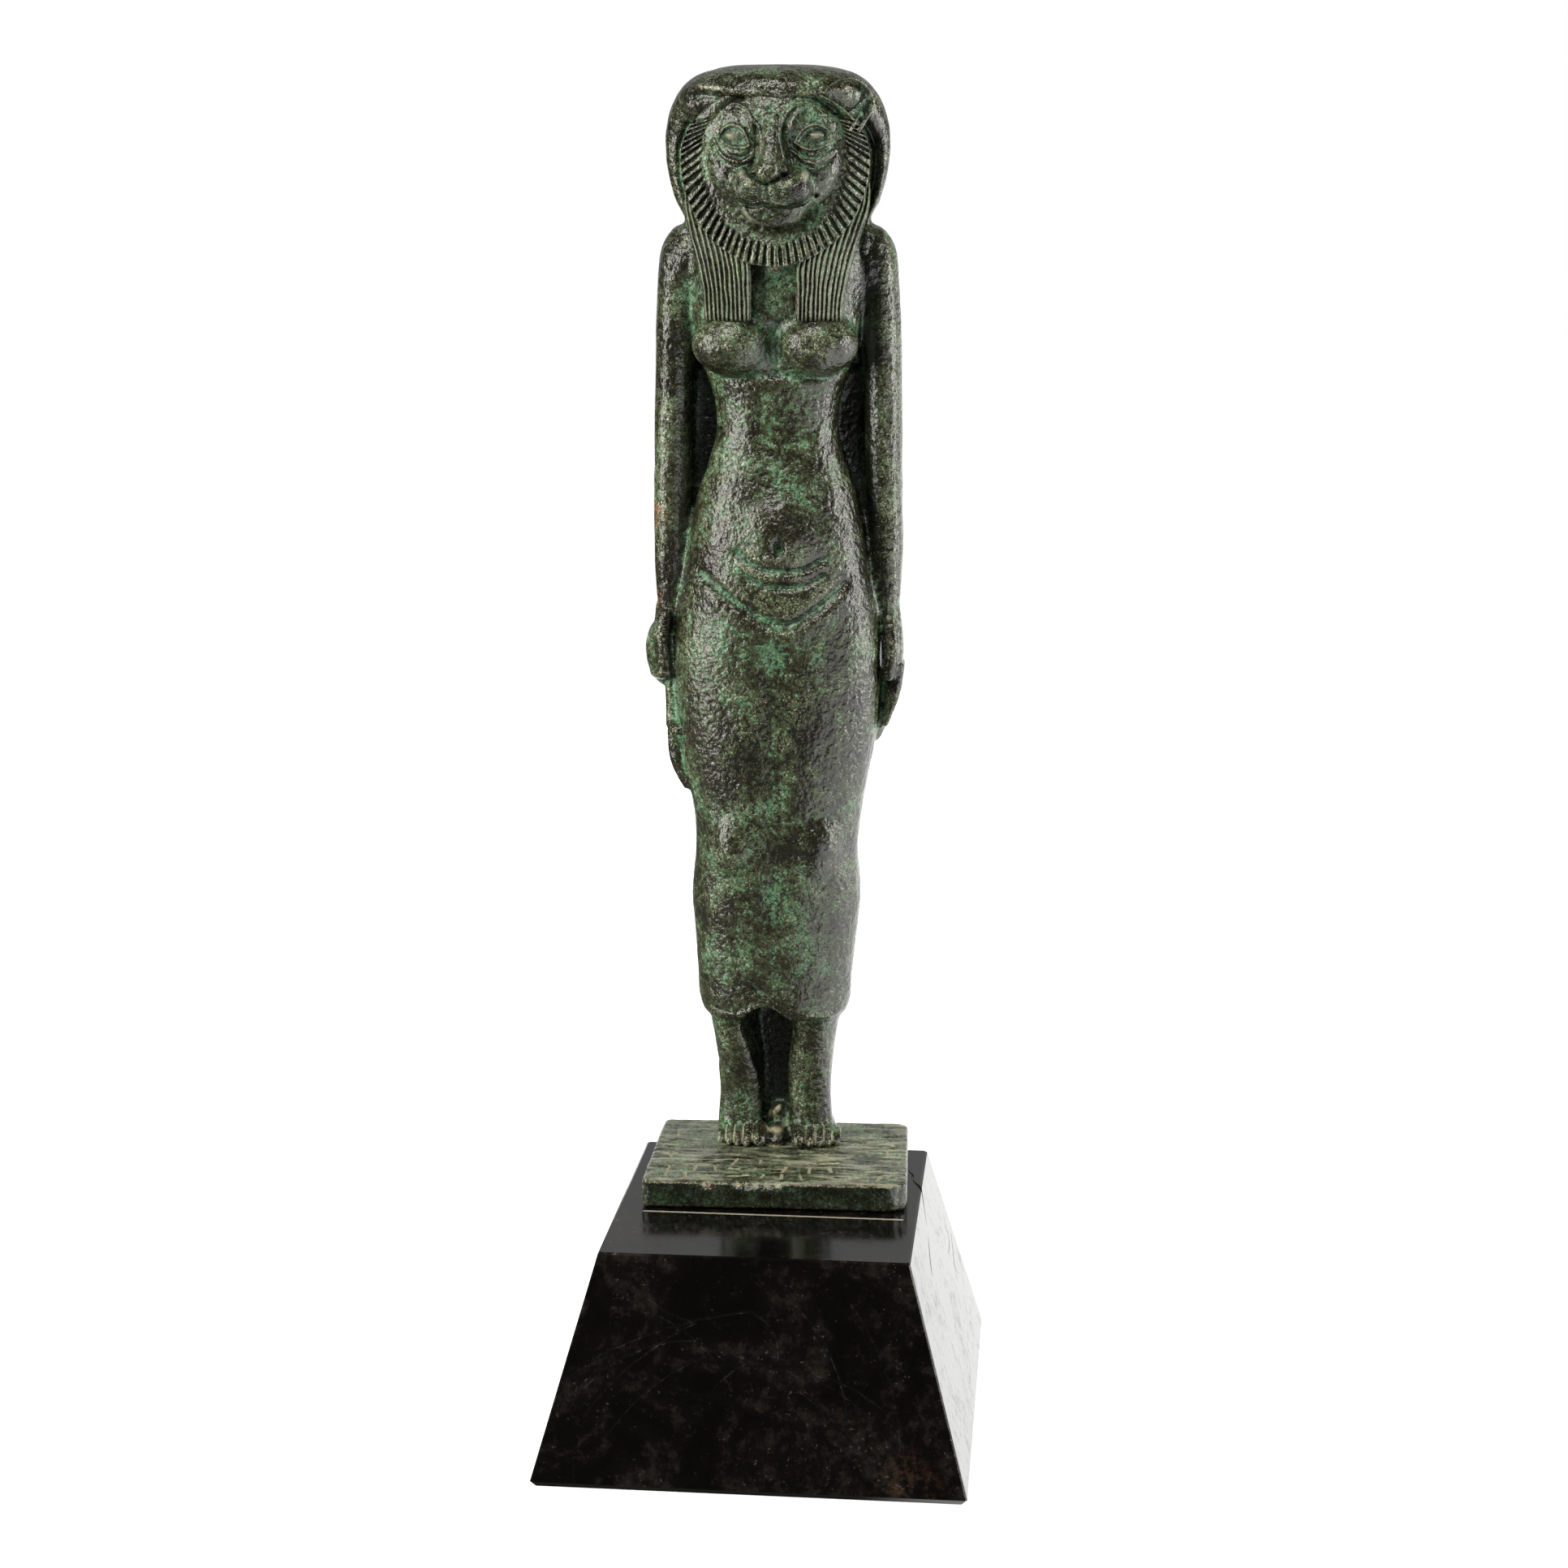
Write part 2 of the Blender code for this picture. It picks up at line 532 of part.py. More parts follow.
def plate():
    """A thin slab, a little narrower behind, with round corners and a worn front left corner."""
    bm = bmesh.new()
    front, back = PLATE_WIDTH / 2, PLATE_BACK_WIDTH / 2
    depth = PLATE_DEPTH / 2
    corners = [(-front, -depth), (front, -depth), (back, depth), (-back, depth)]
    base = [bm.verts.new((x, y, 0)) for x, y in corners]
    slab = bm.faces.new(base)
    upper = bmesh.ops.extrude_face_region(bm, geom=[slab])["geom"]
    risen = [item for item in upper if isinstance(item, bmesh.types.BMVert)]
    bmesh.ops.translate(bm, vec=(0, 0, PLATE_THICKNESS), verts=risen)
    bmesh.ops.recalc_face_normals(bm, faces=bm.faces[:])
    uprights = [edge for edge in bm.edges if abs(edge.verts[0].co.z - edge.verts[1].co.z) > PLATE_THICKNESS / 2]
    worn = [edge for edge in uprights if edge.verts[0].co.x > 0 > edge.verts[0].co.y]
    others = [edge for edge in uprights if edge not in worn]
    for edges, radius in ((worn, PLATE_WORN_CORNER_RADIUS), (others, PLATE_CORNER_RADIUS)):
        bmesh.ops.bevel(bm, geom=edges, offset=radius, segments=4, profile=0.5, affect="EDGES")
    rims = [edge for edge in bm.edges if edge.calc_face_angle(0) > math.radians(60)]
    bmesh.ops.bevel(bm, geom=rims, offset=PLATE_EDGE_ROUND, segments=1, affect="EDGES")
    return object_of("plate", bm)


def add_bar(bm, x, y, length, turn):
    """A thin bar across the plate's upper face, which cuts one stroke."""
    place = Matrix.Translation((x, y, PLATE_THICKNESS)) @ Matrix.Rotation(turn, 4, "Z")
    place @= Matrix.Diagonal((length, STROKE_WIDTH, 2 * STROKE_DEPTH, 1))
    bmesh.ops.create_cube(bm, size=1, matrix=place)


def strokes():
    """Short strokes at changing angles, in a row along the front and one down each side."""
    bm = bmesh.new()
    half_width = PLATE_WIDTH / 2 - STROKE_MARGIN
    front = -PLATE_DEPTH / 2 + STROKE_MARGIN
    count = int(2 * half_width / STROKE_PITCH)
    for row in range(2):
        for k in range(count + 1):
            x = -half_width + k * STROKE_PITCH
            turn = math.radians((90, 20, 115, 70, 150)[(k + 2 * row) % 5])
            length = (0.55 + 0.1 * (k % 3)) * STROKE_PITCH
            add_bar(bm, x, front + row * STROKE_PITCH, length, turn)
    for side in (-1, 1):
        for k in range(2, int((PLATE_DEPTH - 2 * STROKE_MARGIN) / STROKE_PITCH)):
            turn = math.radians((10, 95, 160)[(k + side) % 3])
            add_bar(bm, side * half_width, front + (k + 0.4) * STROKE_PITCH, 0.6 * STROKE_PITCH, turn)
    return object_of("strokes", bm)


# The plinth

def plinth_ring(height, inset):
    """The plinth's outline at a height, with its four upright edges cut back a little."""
    share = height / PLINTH_HEIGHT
    x = (PLINTH_BASE_WIDTH + share * (PLINTH_TOP_WIDTH - PLINTH_BASE_WIDTH)) / 2 - inset
    y = (PLINTH_BASE_DEPTH + share * (PLINTH_TOP_DEPTH - PLINTH_BASE_DEPTH)) / 2 - inset
    cut_x, cut_y = x - PLINTH_EDGE_ROUND, y - PLINTH_EDGE_ROUND
    outline = [(cut_x, -y), (x, -cut_y), (x, cut_y), (cut_x, y), (-cut_x, y), (-x, cut_y), (-x, -cut_y), (-cut_x, -y)]
    return [(*corner, height) for corner in outline]


def plinth():
    bm = bmesh.new()
    add_loft(bm, [
        plinth_ring(0.0, PLINTH_FOOT_CHAMFER),
        plinth_ring(PLINTH_FOOT_CHAMFER, 0.0),
        plinth_ring(PLINTH_HEIGHT - PLINTH_EDGE_ROUND, 0.0),
        plinth_ring(PLINTH_HEIGHT, PLINTH_EDGE_ROUND),
    ])
    return object_of("stone_plinth", bm)


def material(name, colour, roughness, metallic):
    finish = bpy.data.materials.new(name)
    finish.use_nodes = True
    shader = finish.node_tree.nodes["Principled BSDF"]
    shader.inputs["Base Color"].default_value = (*colour, 1)
    shader.inputs["Roughness"].default_value = roughness
    shader.inputs["Metallic"].default_value = metallic
    return finish


def build():
    for obj in list(bpy.data.objects):
        bpy.data.objects.remove(obj)

    bronze = figure()
    axis_y = PLATE_DEPTH / 2 - HEEL_TO_PLATE_EDGE - HEEL_REACH
    rise = PLATE_THICKNESS
    bronze.data.transform(Matrix.Translation((FIGURE_SIDE_SHIFT, axis_y, rise)) @ Matrix.Scale(SHARE, 4))
    slab = plate()
    combine(slab, strokes(), "DIFFERENCE")
    combine(bronze, slab, "UNION")
    bronze.location = (
        PLATE_SIDE_SHIFT,
        PLINTH_TOP_DEPTH / 2 - PLATE_TO_PLINTH_BACK - PLATE_DEPTH / 2,
        PLINTH_HEIGHT + RESTING_GAP,
    )
    bronze.rotation_euler.z = PLATE_TURN
    bronze.data.materials.clear()
    bronze.data.materials.append(material("patinated_bronze", (0.055, 0.085, 0.060), 0.50, 0.6))
    bronze.data.shade_smooth()
    bronze.data.set_sharp_from_angle(angle=math.radians(40))

    stone = plinth()
    stone.data.materials.append(material("black_stone", (0.018, 0.016, 0.015), 0.15, 0.0))


build()
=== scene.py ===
"""The looks of a small lioness-headed bronze on its stone plinth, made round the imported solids.

Metres, +Z up. The goddess looks along -Y, with her right side at -X. Her forms are given in
shares, which are millimetres at this size, from the plate's upper face under the crown.
"""

import itertools
import math

import bmesh
import bpy
import numpy as np
from mathutils import Matrix, Vector


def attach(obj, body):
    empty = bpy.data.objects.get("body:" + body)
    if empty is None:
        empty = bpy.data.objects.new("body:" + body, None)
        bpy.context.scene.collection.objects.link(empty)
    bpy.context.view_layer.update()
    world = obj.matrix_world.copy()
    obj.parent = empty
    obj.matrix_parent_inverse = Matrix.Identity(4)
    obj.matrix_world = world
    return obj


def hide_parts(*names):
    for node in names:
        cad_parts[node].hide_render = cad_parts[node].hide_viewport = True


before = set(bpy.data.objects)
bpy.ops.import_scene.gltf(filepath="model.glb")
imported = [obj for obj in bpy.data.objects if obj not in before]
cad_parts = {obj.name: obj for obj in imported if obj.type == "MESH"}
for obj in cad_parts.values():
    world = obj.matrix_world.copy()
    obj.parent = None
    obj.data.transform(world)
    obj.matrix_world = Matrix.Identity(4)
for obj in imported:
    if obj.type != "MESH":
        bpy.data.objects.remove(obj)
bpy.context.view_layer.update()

# Where the bronze stands, from the same sizes as its solid.
SHARE = 0.0010
PLATE_WIDTH = 0.0476
PLATE_BACK_WIDTH = 0.0464
PLATE_DEPTH = 0.0352
PLATE_THICKNESS = 0.0050
PLATE_EDGE = 0.0004
PLATE_CORNER = 0.0016
PLATE_WORN_CORNER = 0.0030
PLATE_TURN = math.radians(1.8)
BRONZE_PLACE = (0.0006, 0.0110, 0.0392)
FIGURE_ON_PLATE = (-0.00095, 0.0080, PLATE_THICKNESS)
BRONZE = Matrix.Translation(BRONZE_PLACE) @ Matrix.Rotation(PLATE_TURN, 4, "Z")
FIGURE = BRONZE @ Matrix.Translation(FIGURE_ON_PLATE) @ Matrix.Scale(SHARE, 4)

# How fine the surfaces are, in shares, and the most triangles of the body.
BODY_GRAIN = 0.42
BODY_CRISP_GRAIN = 0.36
BODY_TRIANGLES = 190000
FACE_GRAIN = 0.19
PLATE_GRAIN = 0.00024

# How many rings and sides the round shapes have.
BALL_RINGS = 34
BALL_SIDES = 48
LIMB_SIDES = 48
STRAND_SIDES = 18

# The mane and the wig.
RUFF_TEETH = 60
RUFF_REACH = math.radians(150)
RUFF_INNER = {"half_width": 11.4, "over": 8.0, "under": 14.7, "middle": 182.0}
RUFF_OUTER = {"half_width": 16.4, "over": 12.0, "under": 18.3, "middle": 179.0}
LAPPET_STRANDS = 11

# The fine lines beside her nose: how many there are on each side, and how far apart.
WHISKERS = 7
WHISKER_PITCH = 0.43

# The strokes on the plate, in millimetres: their pitch, the margin round them, and the count of fine lines.
STROKE_PITCH = 4.2
STROKE_MARGIN = 4.0
FINE_LINES = 26

# Hair scratches on the plinth's front: three points across and up, and half the width, in millimetres.
STONE_SCRATCHES = [
    ((-28.0, 21.0), (-14.0, 27.0), (-1.0, 30.0), 0.14), ((-2.0, 30.2), (3.4, 27.5), (4.4, 21.0), 0.16),
    ((-28.5, 12.0), (-19.5, 21.5), (-9.6, 28.0), 0.13), ((-18.6, 32.0), (-14.0, 29.4), (-9.8, 28.0), 0.12),
    ((3.0, 21.0), (15.5, 17.4), (27.0, 3.0), 0.15), ((3.0, 21.0), (12.0, 15.0), (22.6, 4.0), 0.13),
    ((17.0, 32.0), (23.2, 21.0), (26.0, 9.0), 0.12), ((-24.0, 30.0), (-12.0, 26.8), (-3.0, 17.0), 0.11),
    ((8.0, 31.0), (14.4, 22.0), (17.0, 10.0), 0.12), ((-30.0, 15.0), (-20.0, 22.8), (-11.0, 25.0), 0.12),
    ((4.0, 20.6), (14.0, 19.6), (24.0, 14.0), 0.11), ((-8.0, 14.0), (-2.0, 21.0), (4.0, 23.0), 0.11),
    ((-25.0, 8.0), (-17.0, 17.0), (-8.0, 22.5), 0.10),
]

# The pale line on the plinth's top, in millimetres: how far forward it lies, its middle, half its length.
PALE_LINE_FORWARD = 8.35
PALE_LINE_MIDDLE = 1.2
PALE_LINE_HALF = 23.0

# The plinth's face on her left, in millimetres: its foot, how far its top leans in, and its height.
SIDE_FOOT = 37.75
SIDE_LEAN = 10.9
SIDE_HEIGHT = 38.9
SIDE_SCRATCHES = 18

# Cracks across the plinth's top edge and down its side on her left: points and radii in millimetres.
STONE_CRACKS = [
    ([(23.6, 18.4, 38.95), (24.9, 15.0, 38.95), (25.1, 12.2, 38.95), (26.6, 8.6, 38.9), (27.4, 6.4, 37.4),
      (28.6, 1.0, 33.4), (29.4, -6.4, 29.9), (30.9, -12.0, 26.6), (31.4, -17.4, 24.2)],
     [0.08, 0.22, 0.16, 0.42, 0.34, 0.20, 0.24, 0.14, 0.08]),
    ([(31.6, 30.5, 21.9), (32.5, 24.0, 18.9), (33.2, 21.0, 16.3)], [0.10, 0.16, 0.08]),
    ([(30.2, 27.0, 27.0), (31.4, 25.5, 22.7), (31.6, 20.0, 22.0)], [0.08, 0.14, 0.08]),
]

# The studio: how bright the room and the ground behind are in the bronze, and where the side lights stand.
ROOM_GLOW = 0.02
BEHIND_GLOW = 0.45
LEFT_LIGHT = (-0.52, -0.32, 0.26)
RIGHT_LIGHT = (0.60, 0.0, 0.26)
CHEST = (0, 0, 0.13)
WAIST = (0, 0, 0.12)

# The camera.
CAMERA_PLACE = (0.0504, -0.4860, 0.2171)
CAMERA_DOWN = math.radians(11.73)
CAMERA_TURN = math.radians(5.64)
CAMERA_LENS = 65.2


# Shapes as arrays of points

def metres(lengths):
    """Lengths, or a point, given in millimetres."""
    return tuple(length / 1000 for length in lengths)


def ramp(value, start, run):
    """0 at the start and 1 a run further, which falls where the run is under 0."""
    return np.clip((value - start) / run, 0, 1)


def peak(value, middle, width):
    """1 at the middle, and softly down to 0 on both sides of it."""
    return np.exp(-(((value - middle) / width) ** 2))


def smooth_rows(stations, count):
    """Rows at even steps on a smooth curve through the stations, whose first column rises."""
    table = np.array(stations, float)
    at = np.linspace(table[0, 0], table[-1, 0], count)
    slopes = np.gradient(table, table[:, 0], axis=0)
    left = np.clip(np.searchsorted(table[:, 0], at, side="right") - 1, 0, len(table) - 2)
    span = (table[left + 1, 0] - table[left, 0])[:, None]
    step = (at[:, None] - table[left, :1]) / span
    rows = (2 * step**3 - 3 * step**2 + 1) * table[left]
    rows += (step**3 - 2 * step**2 + step) * span * slopes[left]
    rows += (3 * step**2 - 2 * step**3) * table[left + 1]
    rows += (step**3 - step**2) * span * slopes[left + 1]
    return rows


def soft_noise(points, size, seed):
    """Noise from -1 to 1 whose spots are about one size wide, the same in every run."""
    at = np.asarray(points) / size
    cell = np.floor(at).astype(np.int64)
    part = at - cell
    part = part * part * (3 - 2 * part)
    total = np.zeros(len(at))
    for corner in itertools.product((0, 1), repeat=3):
        key = cell + corner
        mixed = (key[:, 0] * 73856093) ^ (key[:, 1] * 19349663) ^ (key[:, 2] * 83492791) ^ (seed * 40503)
        mixed = (mixed ^ (mixed >> 13)) * 1274126177
        value = ((mixed ^ (mixed >> 16)) & 0xFFFF) / 32767.5 - 1
        total += value * np.where(corner, part, 1 - part).prod(axis=1)
    return total


def level_rings(z, x, y, half, front, back, squareness, sides=72):
    """Flat rings at heights, from their middles, half widths and reaches to the front and the back."""
    turn = np.linspace(0, 2 * math.pi, sides, endpoint=False)
    power = 2 / squareness
    across = np.sign(np.cos(turn)) * np.abs(np.cos(turn)) ** power
    along = np.sign(np.sin(turn)) * np.abs(np.sin(turn)) ** power
    rows = np.broadcast_arrays(z, x, y, half, front, back)
    z, x, y, half, front, back = (row[:, None] for row in rows)
    depth = np.where(along < 0, front, back)
    return np.stack([x + half * across, y + along * depth, z + 0 * across], axis=2)


def show(name, data):
    """A new object in the scene."""
    obj = bpy.data.objects.new(name, data)
    bpy.context.scene.collection.objects.link(obj)
    return obj


class Clay:
    """Closed shapes, gathered as points and faces and made one mesh at the end."""

    def __init__(self):
        self.points, self.faces, self.count = [], [], 0

    def loft(self, rings):
        """A closed tube through equal rings, capped at both ends."""
        rings = np.asarray(rings, float)
        grid = self.count + np.arange(rings.shape[0] * rings.shape[1]).reshape(rings.shape[:2])
        turned = np.roll(grid, -1, axis=1)
        quads = np.stack([grid[:-1], turned[:-1], turned[1:], grid[1:]], axis=2)
        self.faces += quads.reshape(-1, 4).tolist() + [grid[0, ::-1].tolist(), grid[-1].tolist()]
        self.points.append(rings.reshape(-1, 3))
        self.count += grid.size

    def ball(self, middle, radii, tilt=0.0):
        """An ellipsoid, tilted about the Y axis."""
        rise = np.linspace(-0.499 * math.pi, 0.499 * math.pi, BALL_RINGS)
        turn = np.linspace(0, 2 * math.pi, BALL_SIDES, endpoint=False)
        x = np.cos(rise)[:, None] * np.cos(turn) * radii[0]
        y = np.cos(rise)[:, None] * np.sin(turn) * radii[1]
        z = np.sin(rise)[:, None] * radii[2] + 0 * x
        c, s = math.cos(tilt), math.sin(tilt)
        self.loft(np.stack([middle[0] + c * x + s * z, middle[1] + y, middle[2] - s * x + c * z], axis=2))

    def strand(self, path, radii):
        """A round strand with round ends through (x, y, z) points."""
        stations = [(i, *point, radius) for i, (point, radius) in enumerate(zip(path, radii))]
        rows = smooth_rows(stations, 8 * len(path))[:, 1:]
        run = np.gradient(rows[:, :3], axis=0)
        run /= np.linalg.norm(run, axis=1)[:, None]
        bend = np.linspace(0, 0.48 * math.pi, 6)[1:]
        caps = []
        for end, way in ((0, -1), (-1, 1)):
            beyond = way * np.outer(np.sin(bend), run[end]) * rows[end, 3]
            caps.append(np.column_stack([rows[end, :3] + beyond, rows[end, 3] * np.cos(bend)]))
        rows = np.vstack([caps[0][::-1], rows, caps[1]])
        run = np.vstack([np.repeat(run[:1], len(bend), axis=0), run, np.repeat(run[-1:], len(bend), axis=0)])
        side = np.array([0.9, 0.3, 0.32])
        turn = np.linspace(0, 2 * math.pi, STRAND_SIDES, endpoint=False)[:, None]
        rings = []
        for (x, y, z, radius), ahead in zip(rows, run):
            side = side - side.dot(ahead) * ahead
            side /= np.linalg.norm(side)
            other = np.cross(ahead, side)
            rings.append(np.array([x, y, z]) + radius * (np.cos(turn) * side + np.sin(turn) * other))
        self.loft(rings)

    def piece(self, name):
        """The object of these shapes, with every face pointing out."""
        mesh = bpy.data.meshes.new(name)
        mesh.from_pydata(np.vstack(self.points).tolist(), [], self.faces)
        bm = bmesh.new()
        bm.from_mesh(mesh)
        bmesh.ops.recalc_face_normals(bm, faces=bm.faces[:])
        bm.to_mesh(mesh)
        bm.free()
        return show(name, mesh)


def settle(obj):
    """Makes what the object's modifiers show its own mesh."""
    graph = bpy.context.evaluated_depsgraph_get()
    mesh = bpy.data.meshes.new_from_object(obj.evaluated_get(graph))
    old = obj.data
    obj.modifiers.clear()
    obj.data = mesh
    bpy.data.meshes.remove(old)


def fuse(obj, grain, rounds):
    """Makes overlapping shapes one skin and softens the creases where they meet."""
    skin = obj.modifiers.new("skin", "REMESH")
    skin.mode = "VOXEL"
    skin.voxel_size = grain
    soften = obj.modifiers.new("soften", "SMOOTH")
    soften.factor = 0.5
    soften.iterations = rounds
    settle(obj)


def combine(obj, other, operation):
    """A Boolean of two closed meshes, after which the other one is gone."""
    join = obj.modifiers.new(operation.lower(), "BOOLEAN")
    join.operation = operation
    join.solver = "MANIFOLD"
    join.object = other
    settle(obj)
    bpy.data.objects.remove(other)


def add_to(obj, clay):
    """Puts new shapes into an object's mesh, to be fused with it."""
    extra = clay.piece("extra")
    bm = bmesh.new()
    bm.from_mesh(obj.data)
    bm.from_mesh(extra.data)
    bm.to_mesh(obj.data)
    bm.free()
    bpy.data.objects.remove(extra)


# Carving: a skin's points are moved by functions of where they lie, and marked for their colour, for painted
# shade and for painted highlights.

class Skin:
    """A mesh's points and normals as arrays, with the strokes that carve them."""

    VIEWS = {"front": (0, 2, 1, -1), "back": (0, 2, 1, 1), "top": (0, 1, 2, 1)}

    def __init__(self, obj):
        self.mesh = obj.data
        self.points, self.normals = self.read("co"), self.read("normal")
        self.marks = {name: np.zeros(len(self.points)) for name in ("cream", "red", "bare", "deep", "worn")}

    def read(self, what):
        """The places or the normals of the mesh's points."""
        values = np.empty(len(self.mesh.vertices) * 3, np.float32)
        self.mesh.vertices.foreach_get(what, values)
        return values.reshape(-1, 3).astype(float)

    def mark(self, name, values):
        """Marks the points at least as strongly as the values."""
        self.marks[name] = np.maximum(self.marks[name], values)

    def stroke(self, path, width, height, mark=None, amount=1.0, view="front"):
        """Raises, or lowers for a height under 0, a soft line along a path drawn in a view."""
        across, up, depth, sign = self.VIEWS[view]
        path = np.array(path, float)
        line = smooth_rows([(i, *point) for i, point in enumerate(path)], 8 * len(path))[:, 1:]
        flat = self.points[:, (across, up)]
        reach = 2.5 * width
        near = (flat > line.min(axis=0) - reach).all(axis=1) & (flat < line.max(axis=0) + reach).all(axis=1)
        facing = np.clip(1.6 * sign * self.normals[:, depth], 0, 1)
        index = np.nonzero(near & (facing > 0))[0]
        gap = np.full(len(index), 1e9)
        for start, end in zip(line, line[1:]):
            run = end - start
            away = flat[index] - start
            share = np.clip(away @ run / run.dot(run), 0, 1)
            gap = np.minimum(gap, np.hypot(*(away - share[:, None] * run).T))
        pull = facing[index] * np.exp(-((gap / width) ** 2))
        self.points[index, depth] += sign * height * pull
        if mark:
            self.marks[mark][index] = np.maximum(self.marks[mark][index], amount * pull)

    def swell(self, middle, radii, height, mark=None, amount=1.0):
        """Raises or lowers a soft round spot along the skin's normals."""
        away = (self.points - np.array(middle)) / np.array(radii)
        pull = np.exp(-(away**2).sum(axis=1))
        self.points += height * pull[:, None] * self.normals
        if mark:
            self.mark(mark, amount * pull)

    def roughen(self, size, height, seed, pits=0.0):
        """Uneven casting: soft noise along the normals, and pits where the noise is lowest."""
        noise = soft_noise(self.points, size, seed)
        deep = np.clip(-noise - 0.45, 0, 1)
        self.points += (height * noise - pits * deep)[:, None] * self.normals

    def keep(self):
        """Moves the mesh's points to where they were carved."""
        self.mesh.vertices.foreach_set("co", self.points.astype(np.float32).ravel())
        self.mesh.update()
        self.normals = self.read("normal")

    def store(self):
        """Writes the marks into the mesh."""
        for name, values in self.marks.items():
            layer = self.mesh.attributes.new(name, "FLOAT", "POINT")
            layer.data.foreach_set("value", values.astype(np.float32))

    def finish(self, rounds, reach):
        """Stores the marks, and how far each point stands out of its softened surroundings."""
        self.keep()
        ends = np.empty(len(self.mesh.edges) * 2, np.int32)
        self.mesh.edges.foreach_get("vertices", ends)
        a, b = ends.reshape(-1, 2).T
        count = len(self.points)
        length = np.linalg.norm(self.points[a] - self.points[b], axis=1)
        near = length < 4 * np.median(length)
        a, b = a[near], b[near]
        degree = np.maximum(np.bincount(a, minlength=count) + np.bincount(b, minlength=count), 1)
        soft = self.points.copy()
        for _ in range(rounds):
            for k in range(3):
                around = np.bincount(a, soft[b, k], count) + np.bincount(b, soft[a, k], count)
                soft[:, k] = 0.5 * soft[:, k] + 0.5 * around / degree
        out = ((self.points - soft) * self.normals).sum(axis=1) / reach
        self.marks["standing"] = np.clip(out, -1, 1)
        self.store()


def thinned(obj, skin, triangles):
    """The skin after the object's mesh is brought down to so many triangles, with the same marks."""
    skin.keep()
    skin.store()
    thin = obj.modifiers.new("thin", "DECIMATE")
    thin.ratio = triangles / (2 * len(obj.data.polygons))
    settle(obj)
    fewer = Skin(obj)
    for name in skin.marks:
        layer = obj.data.attributes[name]
        fewer.marks[name] = np.empty(len(fewer.points), np.float32)
        layer.data.foreach_get("value", fewer.marks[name])
        obj.data.attributes.remove(layer)
    return fewer


# The body: torso, dress, wig, arms, legs, hands and feet.

def lean(height):
    """How far the lower legs stand towards her right."""
    return -0.5 * ramp(height, 60.0, -30.0)


def splay(y):
    """How far the feet point towards her left, from the heel to the toes."""
    return 0.5 - ramp(y, -5.0, 12.0)


def torso(clay):
    """The trunk and the tight dress, from rows of height, half width and reach to front and back."""
    stations = [
        (24.8, 12.9, 8.4, 8.2), (26.5, 13.6, 8.7, 8.5), (33.0, 14.3, 9.0, 9.0),
        (39.3, 14.9, 9.3, 9.8), (47.0, 15.5, 9.8, 10.1), (57.5, 14.9, 10.4, 9.2),
        (63.0, 15.4, 10.5, 9.4), (70.0, 16.7, 10.9, 10.3), (77.0, 17.9, 11.2, 11.2),
        (86.0, 18.6, 11.3, 11.8), (95.0, 18.6, 11.2, 11.6), (101.0, 17.8, 11.0, 10.8),
        (107.0, 16.6, 10.9, 9.8), (114.5, 15.5, 10.7, 8.7), (120.0, 14.4, 9.8, 7.9),
        (126.5, 12.2, 8.5, 7.0), (133.0, 10.8, 7.6, 6.3), (138.5, 11.5, 7.6, 6.6),
        (143.0, 13.1, 8.2, 7.2), (148.5, 14.6, 8.8, 7.8), (156.0, 15.3, 9.2, 8.4),
        (162.0, 15.6, 9.2, 8.6), (167.0, 13.0, 8.6, 8.2), (171.0, 9.0, 7.0, 7.0),
    ]
    z, half, front, back = smooth_rows(stations, 150).T
    clay.loft(level_rings(z, lean(z), 0, half, front, back, 2.25))
    for side in (-1, 1):
        clay.ball((side * 7.5, -6.6, 147.3), (7.1, 5.5, 5.6))
        clay.ball((side * 7.6, 4.6, 91.0), (9.4, 8.2, 13.5))
        clay.ball((side * 6.8, -3.6, 58.0), (6.0, 7.2, 9.0))
    clay.ball((0.4, -4.6, 112.0), (10.5, 7.3, 12.5))


def wig(clay):
    """The plain mass of the wig, and what the face and the collar lie on."""
    stations = [
        (150.0, 13.0, 2.0, 10.2), (158.0, 13.6, 3.0, 10.6), (165.0, 16.0, 4.0, 11.4),
        (168.8, 16.4, 4.4, 12.0), (171.6, 17.8, 4.4, 12.6), (174.6, 18.8, 4.5, 13.1),
        (180.0, 19.6, 4.8, 13.6), (184.0, 19.5, 6.0, 13.6), (188.3, 18.3, 9.9, 12.8),
        (190.4, 17.1, 11.3, 11.8), (192.4, 15.2, 10.2, 10.2), (194.0, 11.9, 7.4, 7.8),
        (195.0, 7.0, 3.6, 4.4),
    ]
    z, half, front, back = smooth_rows(stations, 110).T
    clay.loft(level_rings(z, 0, 0, half, front, back, 2.2))
    clay.ball((0, -4.4, 180.4), (12.4, 7.2, 13.0))
    clay.ball((0, -2.6, 169.0), (13.0, 7.4, 7.6))


